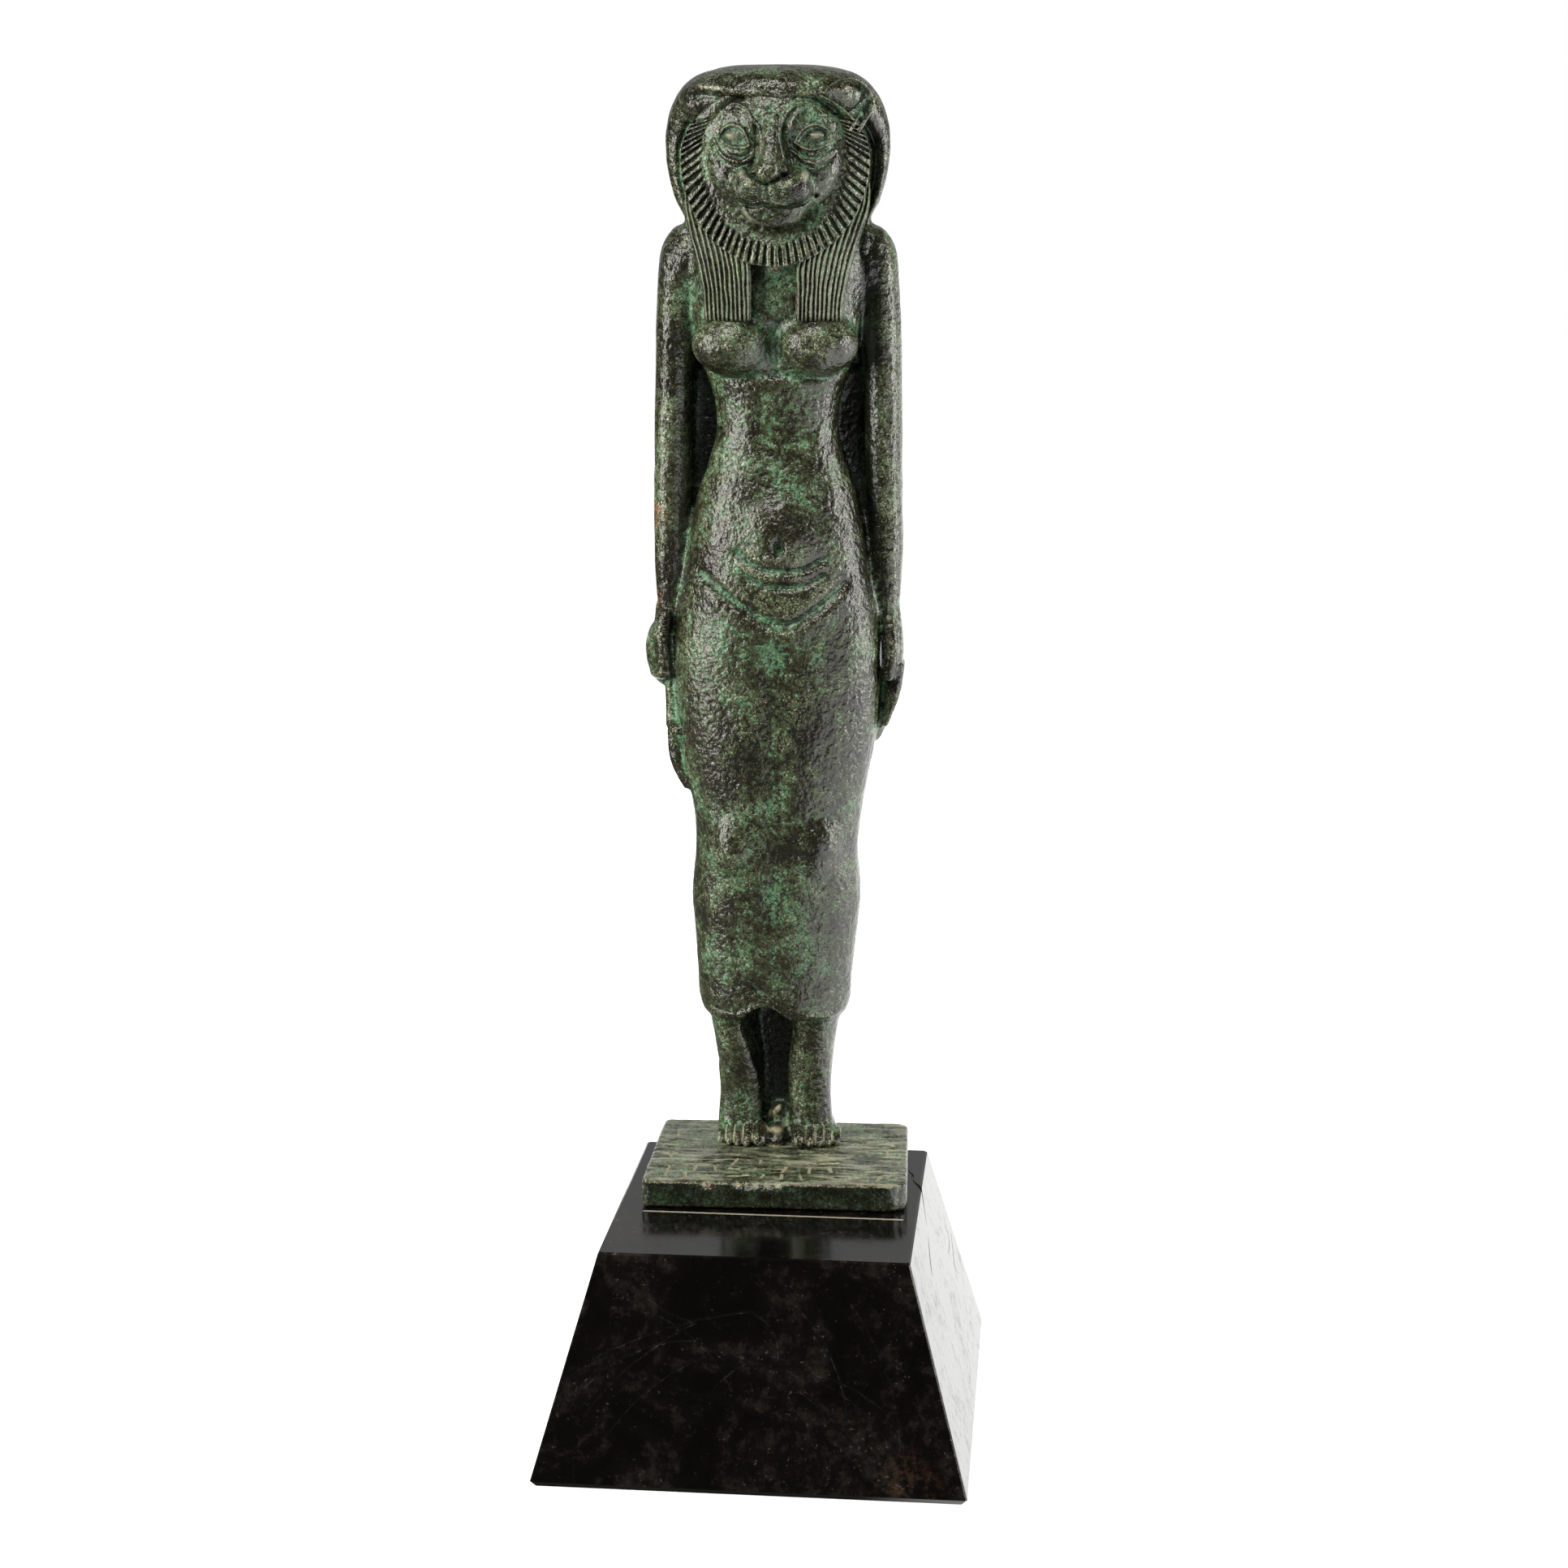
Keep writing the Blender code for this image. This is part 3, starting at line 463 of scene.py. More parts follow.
def arm(clay, side):
    """A straight arm with its rounded shoulder, and the set-back wall that joins it to the body."""
    stations = [
        (99.0, 19.5, 1.2, 2.45, 3.0), (103.0, 19.4, 1.3, 2.75, 3.3), (110.0, 19.3, 1.6, 3.15, 3.9),
        (120.0, 19.0, 2.0, 3.35, 4.4), (134.0, 18.7, 2.2, 3.40, 4.7), (146.0, 18.4, 2.2, 3.50, 5.0),
        (156.0, 17.9, 2.0, 3.60, 5.2), (163.0, 17.1, 1.8, 3.60, 4.9), (167.2, 16.0, 1.8, 2.60, 3.4),
    ]
    z, x, y, half, depth = smooth_rows(stations, 80).T
    clay.loft(level_rings(z, side * x, y, half, depth, depth, 2.3, LIMB_SIDES))
    clay.ball((side * 15.9, 1.9, 160.6), (5.3, 5.8, 7.4))
    wall = np.array([
        (82.0, 14.0, 19.4), (99.0, 13.0, 19.4), (120.0, 9.0, 18.5), (134.0, 6.0, 18.2),
        (150.0, 9.0, 18.0), (163.0, 10.0, 17.0),
    ])
    z, inner, outer = wall.T
    middle, half = side * (inner + outer) / 2, (outer - inner) / 2
    clay.loft(level_rings(z, middle, 5.0, half, 1.4, 1.6, 4.0, LIMB_SIDES))


def leg(clay, side):
    """A bare lower leg under the hem, and its foot."""
    stations = [
        (0.5, 6.7, 4.2, 3.4, 7.9), (4.0, 6.6, 4.1, 3.2, 7.8), (8.0, 6.4, 4.0, 3.0, 7.4),
        (14.0, 6.5, 4.1, 4.0, 7.2), (20.5, 7.3, 4.1, 5.3, 7.4), (27.0, 7.8, 4.7, 6.4, 7.6),
    ]
    z, x, half, front, back = smooth_rows(stations, 40).T
    clay.loft(level_rings(z, side * x + lean(z), 0, half, front, back, 2.2, LIMB_SIDES))
    foot = [(-4.6, 4.0, 0.9), (-3.6, 4.2, 2.1), (-1.6, 4.3, 3.7), (4.0, 4.1, 5.0), (8.4, 3.7, 3.6)]
    y, half, height = smooth_rows(foot, 24).T
    rings = level_rings(0, side * 6.9 + splay(y), 0, half, 1.0, height, 2.6, LIMB_SIDES)
    rings[:, :, 2] = rings[:, :, 1]
    rings[:, :, 1] = y[:, None]
    clay.loft(rings)


def leg_recess():
    """The deep narrow hollow between the legs, open to the front."""
    clay = Clay()
    stations = [
        (0.6, -0.1, 2.3), (5.0, -0.2, 2.4), (11.0, -0.5, 3.1), (18.0, -1.1, 4.3), (23.0, -1.5, 5.1),
        (25.6, -1.7, 3.9), (27.6, -1.9, 1.2),
    ]
    z, x, half = smooth_rows(stations, 40).T
    clay.loft(level_rings(z, x, -7.5, half, 8.0, 11.0, 2.0))
    return clay.piece("leg_recess")


def left_ear():
    """Her left ear: a round cup with a raised rim and a ridge inside it."""
    clay = Clay()
    rim = [
        (8.6, -10.4, 189.8), (10.4, -9.9, 191.4), (12.9, -8.5, 192.2), (15.2, -6.7, 191.2),
        (16.6, -5.7, 189.2), (16.3, -6.0, 187.0), (15.4, -6.6, 185.2), (14.4, -7.2, 183.6),
    ]
    clay.strand(rim, [0.35, 0.55, 0.62, 0.62, 0.62, 0.58, 0.52, 0.4])
    ridge = [(15.9, -6.5, 189.5), (14.9, -7.5, 187.3), (13.8, -7.9, 185.0), (13.0, -8.3, 183.6)]
    clay.strand(ridge, [0.3, 0.42, 0.45, 0.3])
    clay.ball((12.9, -4.9, 188.2), (3.9, 3.0, 3.9))
    clay.ball((9.8, -6.4, 189.6), (2.6, 2.4, 1.9))
    obj = clay.piece("left_ear")
    fuse(obj, 1.3 * FACE_GRAIN, 2)
    skin = Skin(obj)
    # Painted shade in the cup's hollow.
    skin.swell((12.2, -8.0, 188.9), (2.5, 3.6, 2.5), -2.8, "deep", 0.9)
    skin.stroke([(x, z) for x, _, z in rim], 0.5, 0.1, "worn", 0.4)
    # Painted shade in the groove beside the inner ridge.
    skin.swell((15.7, -7.0, 187.2), (0.55, 3.0, 1.5), -0.8, "deep", 0.9)
    skin.roughen(2.4, 0.08, 15)
    skin.roughen(0.9, 0.05, 17, 0.1)
    skin.finish(24, 0.4)
    return obj


def closed_hand(clay):
    """Her right hand, closed on the stem of something now broken away."""
    clay.ball((-20.9, 1.4, 91.4), (3.2, 4.5, 6.2), math.radians(-6))
    clay.ball((-19.9, 1.6, 98.4), (2.6, 3.2, 5.0))
    clay.ball((-17.2, 3.4, 97.0), (2.2, 2.4, 6.0))
    clay.strand([(-20.3, -1.6, 98.5), (-20.6, -3.0, 94.0), (-19.9, -3.2, 88.4)], [1.3, 1.3, 1.1])
    for row in range(4):
        z = 94.9 - 2.2 * row
        clay.strand([(-20.9, 3.4, z - 0.3), (-22.0, 0.2, z), (-20.7, -2.9, z + 0.1)], [1.4, 1.45, 1.3])
    clay.strand([(-19.2, -0.4, 87.5), (-19.0, -1.0, 82.0), (-18.8, -1.4, 79.0)], [1.5, 1.4, 1.5])
    clay.strand([(-19.2, -2.2, 79.2), (-18.5, -3.4, 78.5), (-17.8, -4.4, 78.0)], [0.9, 0.85, 0.8])
    clay.strand([(-18.8, -1.0, 77.4), (-18.1, -1.2, 72.0), (-16.4, -1.4, 67.6)], [1.3, 1.4, 0.9])


def open_hand(clay):
    """Her left hand, open and flat along the thigh, with the thumb in front."""
    stations = [
        (78.0, 18.6, 0.4, 1.6), (81.5, 19.8, 0.9, 2.8), (86.0, 20.8, 1.2, 3.3),
        (92.0, 21.3, 1.4, 3.6), (97.5, 20.6, 1.8, 3.2), (101.5, 19.6, 2.3, 2.8),
    ]
    z, x, half, depth = smooth_rows(stations, 40).T
    clay.loft(level_rings(z, x, 1.6, half, depth, depth, 2.6, LIMB_SIDES))
    clay.ball((18.4, 3.2, 82.0), (2.0, 2.4, 7.0), math.radians(8))
    clay.strand([(20.2, -0.9, 98.0), (20.6, -2.4, 93.5), (20.2, -2.9, 88.2)], [1.4, 1.35, 1.0])
    for row in range(4):
        y = -1.1 + 1.75 * row
        clay.strand([(22.0, y, 89.5), (21.3, y, 84.5), (19.6, y, 79.0)], [0.95, 0.9, 0.5])


def toes(clay, side):
    """Five toes, the great toe on the inner side."""
    across = [3.5, 5.85, 7.6, 9.25, 10.8]
    radii = [1.45, 0.95, 0.88, 0.84, 0.88]
    tips = [-5.9, -6.1, -5.8, -5.3, -4.6]
    roots = [2.5, 3.1, 3.1, 2.8, 1.9]
    for x, radius, tip, root in zip(across, radii, tips, roots):
        x = side * x + splay(tip)
        knuckle = (x, tip + 1.8, 0.4 * root + 1.0)
        clay.strand([(x, tip + 3.8, root), knuckle, (x, tip, radius)], [radius * 0.92] * 3)


def carve_body(skin):
    """The crease under the breasts, the navel, the folds of the belly, and her back."""
    skin.stroke([(-13.6, 143.6), (-7.0, 141.6), (0.2, 142.2), (7.4, 141.6), (14.2, 143.6)], 0.7, -0.7)
    skin.stroke([(0.2, 150.5), (0.2, 147.0), (0.2, 143.0)], 1.3, -1.0)
    skin.stroke([(-6.5, 111.3), (-3.0, 108.9), (0.9, 108.0), (5.0, 108.3), (9.0, 110.2)], 0.45, -0.75)
    skin.stroke([(-6.0, 109.0), (-2.6, 107.1), (1.2, 106.4), (5.0, 106.9), (9.0, 108.5)], 0.6, 0.40)
    skin.stroke([(-4.6, 106.6), (-1.0, 105.2), (2.2, 104.9), (5.4, 105.4), (8.6, 107.0)], 0.45, -0.70)
    fold = [(-13.0, 107.0), (-8.0, 103.2), (-3.4, 100.2), (1.6, 98.2), (6.4, 100.4), (12.4, 105.4)]
    skin.stroke(fold, 0.8, -0.95)
    skin.stroke([(-12.0, 103.6), (-7.0, 100.0), (1.6, 95.8), (7.4, 98.6), (12.4, 102.6)], 1.6, 0.35)
    skin.swell((1.0, -12.0, 112.0), (0.85, 3.0, 1.5), -1.9)
    skin.swell((1.3, -12.4, 110.2), (1.0, 3.0, 0.6), 0.55, "bare", 0.9)
    skin.swell((-0.9, -12.4, 110.2), (0.6, 3.0, 0.6), 0.45, "bare", 0.8)
    skin.stroke([(0.0, 92.0), (0.0, 70.0), (0.0, 44.0)], 2.6, -0.5)
    skin.stroke([(0.0, 148.0), (0.0, 128.0), (0.0, 106.0)], 2.0, -0.8, view="back")
    skin.stroke([(0.0, 100.0), (0.0, 92.0), (0.0, 84.0)], 1.8, -1.0, view="back")
    skin.swell((0.3, -12.0, 160.4), (1.0, 3.0, 0.9), 1.1)
    for side in (-1, 1):
        skin.swell((side * 7.6, -14.0, 147.2), (1.1, 4.0, 1.1), 0.25)
        for x, high, tip in ((4.95, 3.4, -5.9), (6.75, 3.6, -5.9), (8.4, 3.4, -5.5), (9.95, 3.0, -5.0)):
            x = side * x + float(splay(tip))
            skin.stroke([(x, 0.2), (x, 1.6), (x - 0.1 * side, high)], 0.24, -0.85, "cream")
    # A notch at the top of the leg recess, with painted shade in it.
    skin.stroke([(-4.3, 32.6), (-3.4, 31.0), (-2.5, 30.5)], 0.4, -0.6, "deep", 0.8)
    skin.stroke([(-14.6, 26.2), (-8.0, 25.6), (-3.6, 27.4)], 0.6, 0.35)
    skin.stroke([(2.6, 27.4), (8.0, 25.6), (13.6, 26.2)], 0.6, 0.35)


def shade_hollows(skin):
    """Paints shade on the walls beside the waist, under the arms and in the recess between the legs, and
    marks the deposits round the feet.
    """
    x, y, z = skin.points.T
    facing = np.clip(-1.5 * skin.normals[:, 1] - 0.2, 0, 1)
    # Painted shade: near-black on the front-facing walls set back beside the waist.
    skin.mark("deep", ramp(y, 1.5, 2.0) * (np.abs(x) < 18.5) * (z > 80) * (z < 166) * facing)
    # Painted shade in the recess between the legs.
    recess = ramp(y, -4.6, 2.5) * ramp(np.abs(x + 0.2), 3.2, -1.0) * ramp(z, 4.5, 3.0)
    skin.mark("deep", recess * (z < 28) * (y < 5))
    # Painted shade under the arms, on the faces towards the front.
    armpit_shade = ramp(x, 14.2, 1.2) * ramp(x, 18.9, -1.4) * ramp(z, 106.0, 10.0) * (z < 166) * (y < 6)
    skin.mark("deep", 0.9 * armpit_shade * np.clip(-2 * skin.normals[:, 1], 0, 1))
    dust = soft_noise(skin.points, 1.6, 61) * 0.5 + 0.6
    skin.mark("cream", np.clip(0.9 * ramp(z, 1.1, -1.0) * (y < 0.5) * dust, 0, 1))
    skin.mark("cream", np.clip(peak(x, -0.2, 2.6) * peak(y, -1.5, 4.5) * (z < 5.0) * dust, 0, 1))
    chip = peak(x, 0.1, 1.0) * peak(y, 0.3, 1.0) * peak(z, 5.6, 1.0)
    skin.mark("red", 0.6 * chip)
    skin.mark("cream", 0.95 * chip)


def carve_wig_edge(skin):
    """The low edge of the cap over the forehead, and the gap behind the ruff on her left side, with painted
    shade in the gap.
    """
    turn = np.radians(np.linspace(48, 118, 12))
    x, z = ruff_edge(RUFF_OUTER, turn)
    # Painted shade in the gap behind the ruff on her left side.
    skin.stroke(np.column_stack([x + 0.8 * np.sin(turn), z - 0.8 * np.cos(turn)]), 0.8, -2.6, "deep")
    skin.stroke(np.column_stack([-x - 0.6 * np.sin(turn), z - 0.6 * np.cos(turn)]), 0.5, -0.8)
    skin.stroke([(-14.2, 190.2), (-12.0, 191.1), (-8.6, 190.8)], 0.5, 0.35)
    skin.stroke([(-13.6, 188.9), (-11.6, 189.6), (-9.0, 189.4)], 0.6, -0.35)
    skin.stroke([(-14.2, 191.2), (-6.6, 190.0), (1.1, 189.3)], 0.6, 0.5, "worn", 0.35)
    skin.stroke([(1.1, 189.3), (7.7, 189.8), (12.2, 190.9)], 0.6, 0.4)
    skin.stroke([(-13.0, 189.8), (-6.6, 188.7), (1.1, 188.1), (7.7, 188.5)], 0.7, -0.45)


def body():
    """The figure without her face, ear, mane and lappets, carved and marked."""
    clay = Clay()
    torso(clay)
    wig(clay)
    clay.loft(level_rings(np.array([-1.0, 14.0, 28.0]), 0, 6.2, 5.0, 2.0, 2.0, 4.0))
    for side in (-1, 1):
        arm(clay, side)
        leg(clay, side)
    obj = clay.piece("bronze_body")
    fuse(obj, BODY_GRAIN, 14)
    combine(obj, leg_recess(), "DIFFERENCE")
    clay = Clay()
    clay.ball((-12.0, -5.4, 188.6), (3.9, 2.2, 2.3), math.radians(-25))
    closed_hand(clay)
    open_hand(clay)
    for side in (-1, 1):
        toes(clay, side)
    clay.ball((-0.2, -0.6, 0.4), (2.7, 5.2, 2.6))
    clay.ball((0.0, 2.6, 3.2), (2.4, 2.6, 2.6))
    clay.strand([(-0.9, 0.6, 4.7), (0.0, 0.3, 5.3), (0.5, 0.4, 6.3)], [0.55, 0.8, 0.35])
    add_to(obj, clay)
    fuse(obj, BODY_CRISP_GRAIN, 3)
    skin = Skin(obj)
    carve_body(skin)
    carve_wig_edge(skin)
    shade_hollows(skin)
    skin = thinned(obj, skin, BODY_TRIANGLES)
    skin.roughen(7.0, 0.10, 3)
    skin.roughen(2.2, 0.07, 5, 0.20)
    skin.roughen(1.1, 0.035, 7)
    skin.points[:, 2] -= 0.28 * np.clip(skin.points[:, 2] - 194.4, 0, 1)
    skin.finish(24, 0.8)
    return obj


# The face inside the mane

def face():
    """The lioness's face, which fills the collar."""
    clay = Clay()
    clay.ball((0, -4.4, 181.0), (12.9, 8.2, 13.6))
    clay.ball((0.1, -10.2, 173.6), (7.4, 5.9, 5.4))
    clay.ball((0.0, -10.8, 170.1), (5.6, 4.3, 3.0))
    for side in (-1, 1):
        clay.ball((side * 3.3 - 0.2, -12.8, 174.0), (3.6, 3.8, 3.0))
        clay.ball((side * 6.4, -8.6, 176.8), (4.9, 3.6, 7.4), math.radians(side * 24))
    obj = clay.piece("lioness_face")
    fuse(obj, FACE_GRAIN * 1.6, 22)
    clay = Clay()
    stations = [
        (174.9, -0.6, 0.8, 16.0), (175.7, -0.6, 2.4, 17.1), (176.8, -0.6, 2.9, 17.3),
        (178.6, -0.4, 2.1, 16.5), (181.0, -0.2, 1.6, 15.3), (183.8, -0.3, 1.6, 13.8),
        (186.5, -0.3, 1.9, 12.1),
    ]
    z, x, half, front = smooth_rows(stations, 50).T
    clay.loft(level_rings(z, x, -8.0, half, front - 8.0, 3.0, 3.2))
    add_to(obj, clay)
    fuse(obj, FACE_GRAIN, 3)
    skin = Skin(obj)
    carve_face(skin)
    skin.roughen(2.4, 0.05, 11)
    skin.roughen(0.9, 0.03, 13, 0.07)
    skin.finish(30, 0.45)
    return obj


def carve_face(skin):
    """Lidded eyes in shallow sockets, the forked brow, nose, whiskers, mouth and chin, with painted shade in
    the sockets, grooves, nostrils and mouth.
    """
    for side in (-1, 1):
        middle = 7.2 if side > 0 else 6.8
        skin.swell((side * middle, -12.0, 182.4), (2.9, 4.0, 2.0), -0.9)
        skin.swell((side * 3.5, -13.5, 180.8), (1.0, 4.0, 2.2), -0.7)
        # Painted shade in a ring round each eyeball.
        skin.swell((side * middle, -11.6, 182.5), (2.1, 4.0, 1.45), -0.5, "deep", 0.75)
        # A raised eyeball, pale as rubbed metal and as a painted highlight.
        skin.swell((side * middle, -11.2, 182.5), (1.35, 4.0, 0.9), 1.7, "worn", 1.1)
    lids = [
        [(-9.4, 182.4), (-8.7, 183.8), (-7.2, 184.5), (-5.6, 184.1), (-4.6, 182.8), (-4.0, 181.2)],
        [(-9.3, 182.5), (-8.1, 181.3), (-6.5, 180.8), (-4.9, 180.7), (-4.0, 181.0)],
        [(3.8, 181.7), (4.8, 183.3), (6.2, 184.3), (7.7, 184.5), (9.2, 183.7), (10.1, 182.2)],
        [(3.8, 181.5), (5.4, 180.6), (7.2, 180.4), (8.9, 181.0), (10.1, 182.1)],
    ]
    # Raised lids, pale as rubbed metal and as a painted highlight.
    for lid in lids:
        skin.stroke(lid, 0.27, 0.85, "worn", 0.35)
    # Takes the painted shade off the eyeballs.
    for middle in (-6.8, 7.2):
        away = ((skin.points[:, 0] - middle) / 1.5) ** 2 + ((skin.points[:, 2] - 182.5) / 1.0) ** 2
        skin.marks["deep"] *= 1 - np.exp(-away)
    folds = [
        [(-10.2, 182.1), (-9.2, 180.1), (-7.7, 178.8), (-5.4, 178.3), (-4.0, 179.0)],
        [(3.5, 180.0), (5.5, 178.5), (7.7, 178.3), (10.2, 180.0)],
    ]
    for fold in folds:
        skin.stroke(fold, 0.30, 0.42)
        skin.stroke([(x, z + 0.75) for x, z in fold], 0.30, -0.30)
        skin.stroke([(x, z - 0.8) for x, z in fold], 0.5, -0.22)
    brows = [
        [(-10.7, 183.4), (-10.0, 185.9), (-8.6, 187.5), (-6.5, 188.1), (-4.8, 187.3), (-3.6, 185.6),
         (-2.2, 184.0)],
        [(1.2, 183.5), (1.8, 185.4), (3.0, 187.2), (5.0, 188.3), (7.0, 187.7), (9.1, 185.9), (10.7, 183.6)],
    ]
    for brow in brows:
        skin.stroke(brow, 0.30, 0.42, "worn", 0.3)
    skin.stroke([(2.7, 184.0), (3.4, 186.0), (4.8, 187.2), (6.4, 187.2)], 0.26, 0.40)
    skin.stroke([(2.0, 184.0), (2.6, 186.0), (3.9, 187.4)], 0.22, -0.35)
    skin.stroke([(-3.0, 183.4), (-4.4, 185.6), (-5.8, 186.8), (-7.6, 186.9)], 0.26, 0.30)
    nose = [
        [(-2.3, 184.2), (-1.9, 181.7), (-2.2, 179.3), (-3.5, 176.9)],
        [(1.2, 184.0), (1.0, 182.4), (1.4, 180.7), (1.9, 178.6), (2.4, 176.9)],
    ]
    for side, edge in zip((-1, 1), nose):
        skin.stroke(edge, 0.28, 0.50, "bare", 0.6)
        # Painted shade in the grooves beside the nose's ridges.
        skin.stroke([(x + 0.75 * side, z) for x, z in edge], 0.32, -1.0, "deep", 0.5)
    skin.stroke([(-0.5, 187.0), (-0.4, 183.0), (-0.4, 179.0)], 0.8, -0.22)
    # Painted shade in the nostrils.
    for x, z in ((-3.4, 176.4), (2.2, 176.5)):
        skin.swell((x, -15.5, z), (0.6, 3.0, 0.5), -1.0, "deep", 0.9)
    muzzle = [(-4.2, 176.6), (-2.6, 175.5), (-0.7, 174.6), (1.3, 175.5), (3.0, 176.6)]
    # Painted shade along the line under the nose.
    skin.stroke(muzzle, 0.28, -0.85, "deep", 0.6)
    skin.stroke([(-0.7, 174.6), (-0.6, 173.0), (-0.3, 171.2)], 0.25, -0.5)
    # Cheek knobs, pale as rubbed metal and as a painted highlight, brighter on her left.
    skin.swell((5.4, -13.4, 175.7), (0.6, 2.5, 1.2), 0.9, "worn", 1.6)
    skin.swell((-4.9, -13.4, 176.1), (0.7, 3.0, 0.8), 0.6, "worn", 1.2)
    # Whisker grooves, with painted shade in them.
    for row in range(WHISKERS):
        drop = WHISKER_PITCH * row
        right = [
            (-1.7 + 0.05 * row, 174.0 - 0.9 * drop), (-3.6, 173.8 - drop),
            (-5.0 - 0.05 * row, 174.5 - drop), (-5.9 - 0.1 * row, 175.7 - drop),
        ]
        left = [
            (0.8 - 0.05 * row, 174.3 - 0.9 * drop), (2.6, 173.9 - drop),
            (4.2, 174.2 - drop), (5.4 + 0.1 * row, 175.3 - drop),
        ]
        for whisker in (right, left):
            skin.stroke(whisker, 0.13, -0.30, "deep", 0.7)
    mouth = [
        (-6.6, 172.3), (-3.7, 170.9), (-1.3, 171.1), (0.0, 170.7), (2.5, 170.7), (5.3, 171.5), (7.3, 172.7),
    ]
    # Painted shade along the mouth and in the hollow under it.
    skin.stroke(mouth, 0.34, -1.1, "deep", 0.8)
    skin.swell((0.4, -14.0, 169.7), (3.0, 4.0, 0.9), -0.9, "deep", 0.8)
    chin = [(-5.0, 170.4), (-3.4, 168.4), (0.0, 167.5), (3.4, 168.0), (5.8, 170.3)]
    # The chin's crescent, pale as rubbed metal and as a painted highlight.
    skin.stroke(chin, 0.55, 0.65, "worn", 0.7)
    skin.stroke([(x * 1.18, z - 1.3) for x, z in chin], 0.6, -0.4)


# The mane, the lappets and the plate

def ruff_edge(edge, turn):
    """The (x, z) points of an edge at turns from straight down."""
    height = np.where(np.cos(turn) > 0, edge["under"], edge["over"])
    return edge["half_width"] * np.sin(turn), edge["middle"] - height * np.cos(turn)


def over_front(values, closing):
    """A value for each point of a loft whose rings end in closing points behind the front, 0 there."""
    return np.pad(values, ((0, 0), (0, closing))).ravel()


def ruff():
    """The U-shaped collar of mane round the face, with a groove between each pair of locks."""
    turn = np.linspace(-RUFF_REACH, RUFF_REACH, RUFF_TEETH * 12 + 1)
    inner_x, inner_z = ruff_edge(RUFF_INNER, turn)
    outer_x, outer_z = ruff_edge(RUFF_OUTER, turn)
    sweep = np.abs(np.sin(turn)) ** 1.5
    inner_y = -11.3 + 2.6 * sweep
    outer_y = -12.7 + 6.6 * sweep
    back = np.maximum(3.0, 3.6 * np.cos(turn))
    root = 0.10 + 0.25 * np.maximum(0, np.cos(turn))
    share = np.concatenate([np.linspace(-0.45, 0.0, 6, endpoint=False), np.linspace(0.0, 0.995, 44)])
    spin = turn[:, None] + 0 * share
    place = np.stack([spin * 14, share + 0 * spin, 0 * spin], axis=2).reshape(-1, 3)
    sway = soft_noise(place, 2.3, 21).reshape(spin.shape)
    phase = (spin / (2 * RUFF_REACH) + 0.5) * RUFF_TEETH + 0.28 * sway * share
    lock = np.floor(phase)
    gap = np.abs(phase - lock - 0.5) * 2
    uneven = np.sin(lock * 12.9898) * 43758.5453
    uneven = uneven - np.floor(uneven)
    groove = ramp(gap, 0.45, 0.4) ** 1.3
    start = root[:, None] + 0.10 * uneven
    teeth = ramp(np.abs(spin), math.radians(124), -math.radians(8))
    plain = (1 - teeth) * (spin > 0)
    along = ramp(share, start, 0.14) * ramp(share, 1.02, -0.08) * teeth
    crest = 0.25 * np.cos(gap * math.pi / 2) * along
    lift = 0.35 * np.sin(math.pi * np.clip(share, 0, 1)) + crest
    lift = lift - 0.9 * groove * along * (0.75 + 0.35 * uneven) + 0.16 * peak(share, 0.98, 0.04)
    lift = lift + plain * (0.9 * peak(share, 0.9, 0.08) - 1.1 * peak(share, 0.4, 0.28))
    x = inner_x[:, None] + share * (outer_x - inner_x)[:, None]
    z = inner_z[:, None] + share * (outer_z - inner_z)[:, None]
    y = inner_y[:, None] + share * (outer_y - inner_y)[:, None] - lift
    front = np.stack([x, y, z], axis=2)
    rim = np.stack([outer_x, outer_y + 0.35, outer_z], axis=1)[:, None]
    tuck = np.stack([0.985 * outer_x, outer_y + back, outer_z + 0.2], axis=1)[:, None]
    low = RUFF_INNER["middle"] + 0.6 * (inner_z - RUFF_INNER["middle"])
    base = np.stack([0.6 * inner_x, inner_y + back, low], axis=1)[:, None]
    clay = Clay()
    clay.loft(np.concatenate([front, rim, tuck, base], axis=1))
    obj = clay.piece("mane_ruff")
    skin = Skin(obj)
    # Painted shade in the grooves between the locks and in the plain hollow on her left side.
    hollow = np.clip(groove * along * 0.9 + plain * peak(share, 0.4, 0.28), 0, 1)
    skin.mark("deep", 0.8 * over_front(hollow, 3))
    ridge = peak(share, 0.94, 0.05) * (0.4 + 0.6 * plain)
    skin.mark("worn", 0.6 * over_front(np.maximum(np.clip(crest / 0.25 - 0.4, 0, 1), ridge), 3))
    skin.roughen(1.6, 0.07, 23)
    skin.roughen(0.7, 0.05, 25)
    skin.finish(16, 0.35)
    return obj


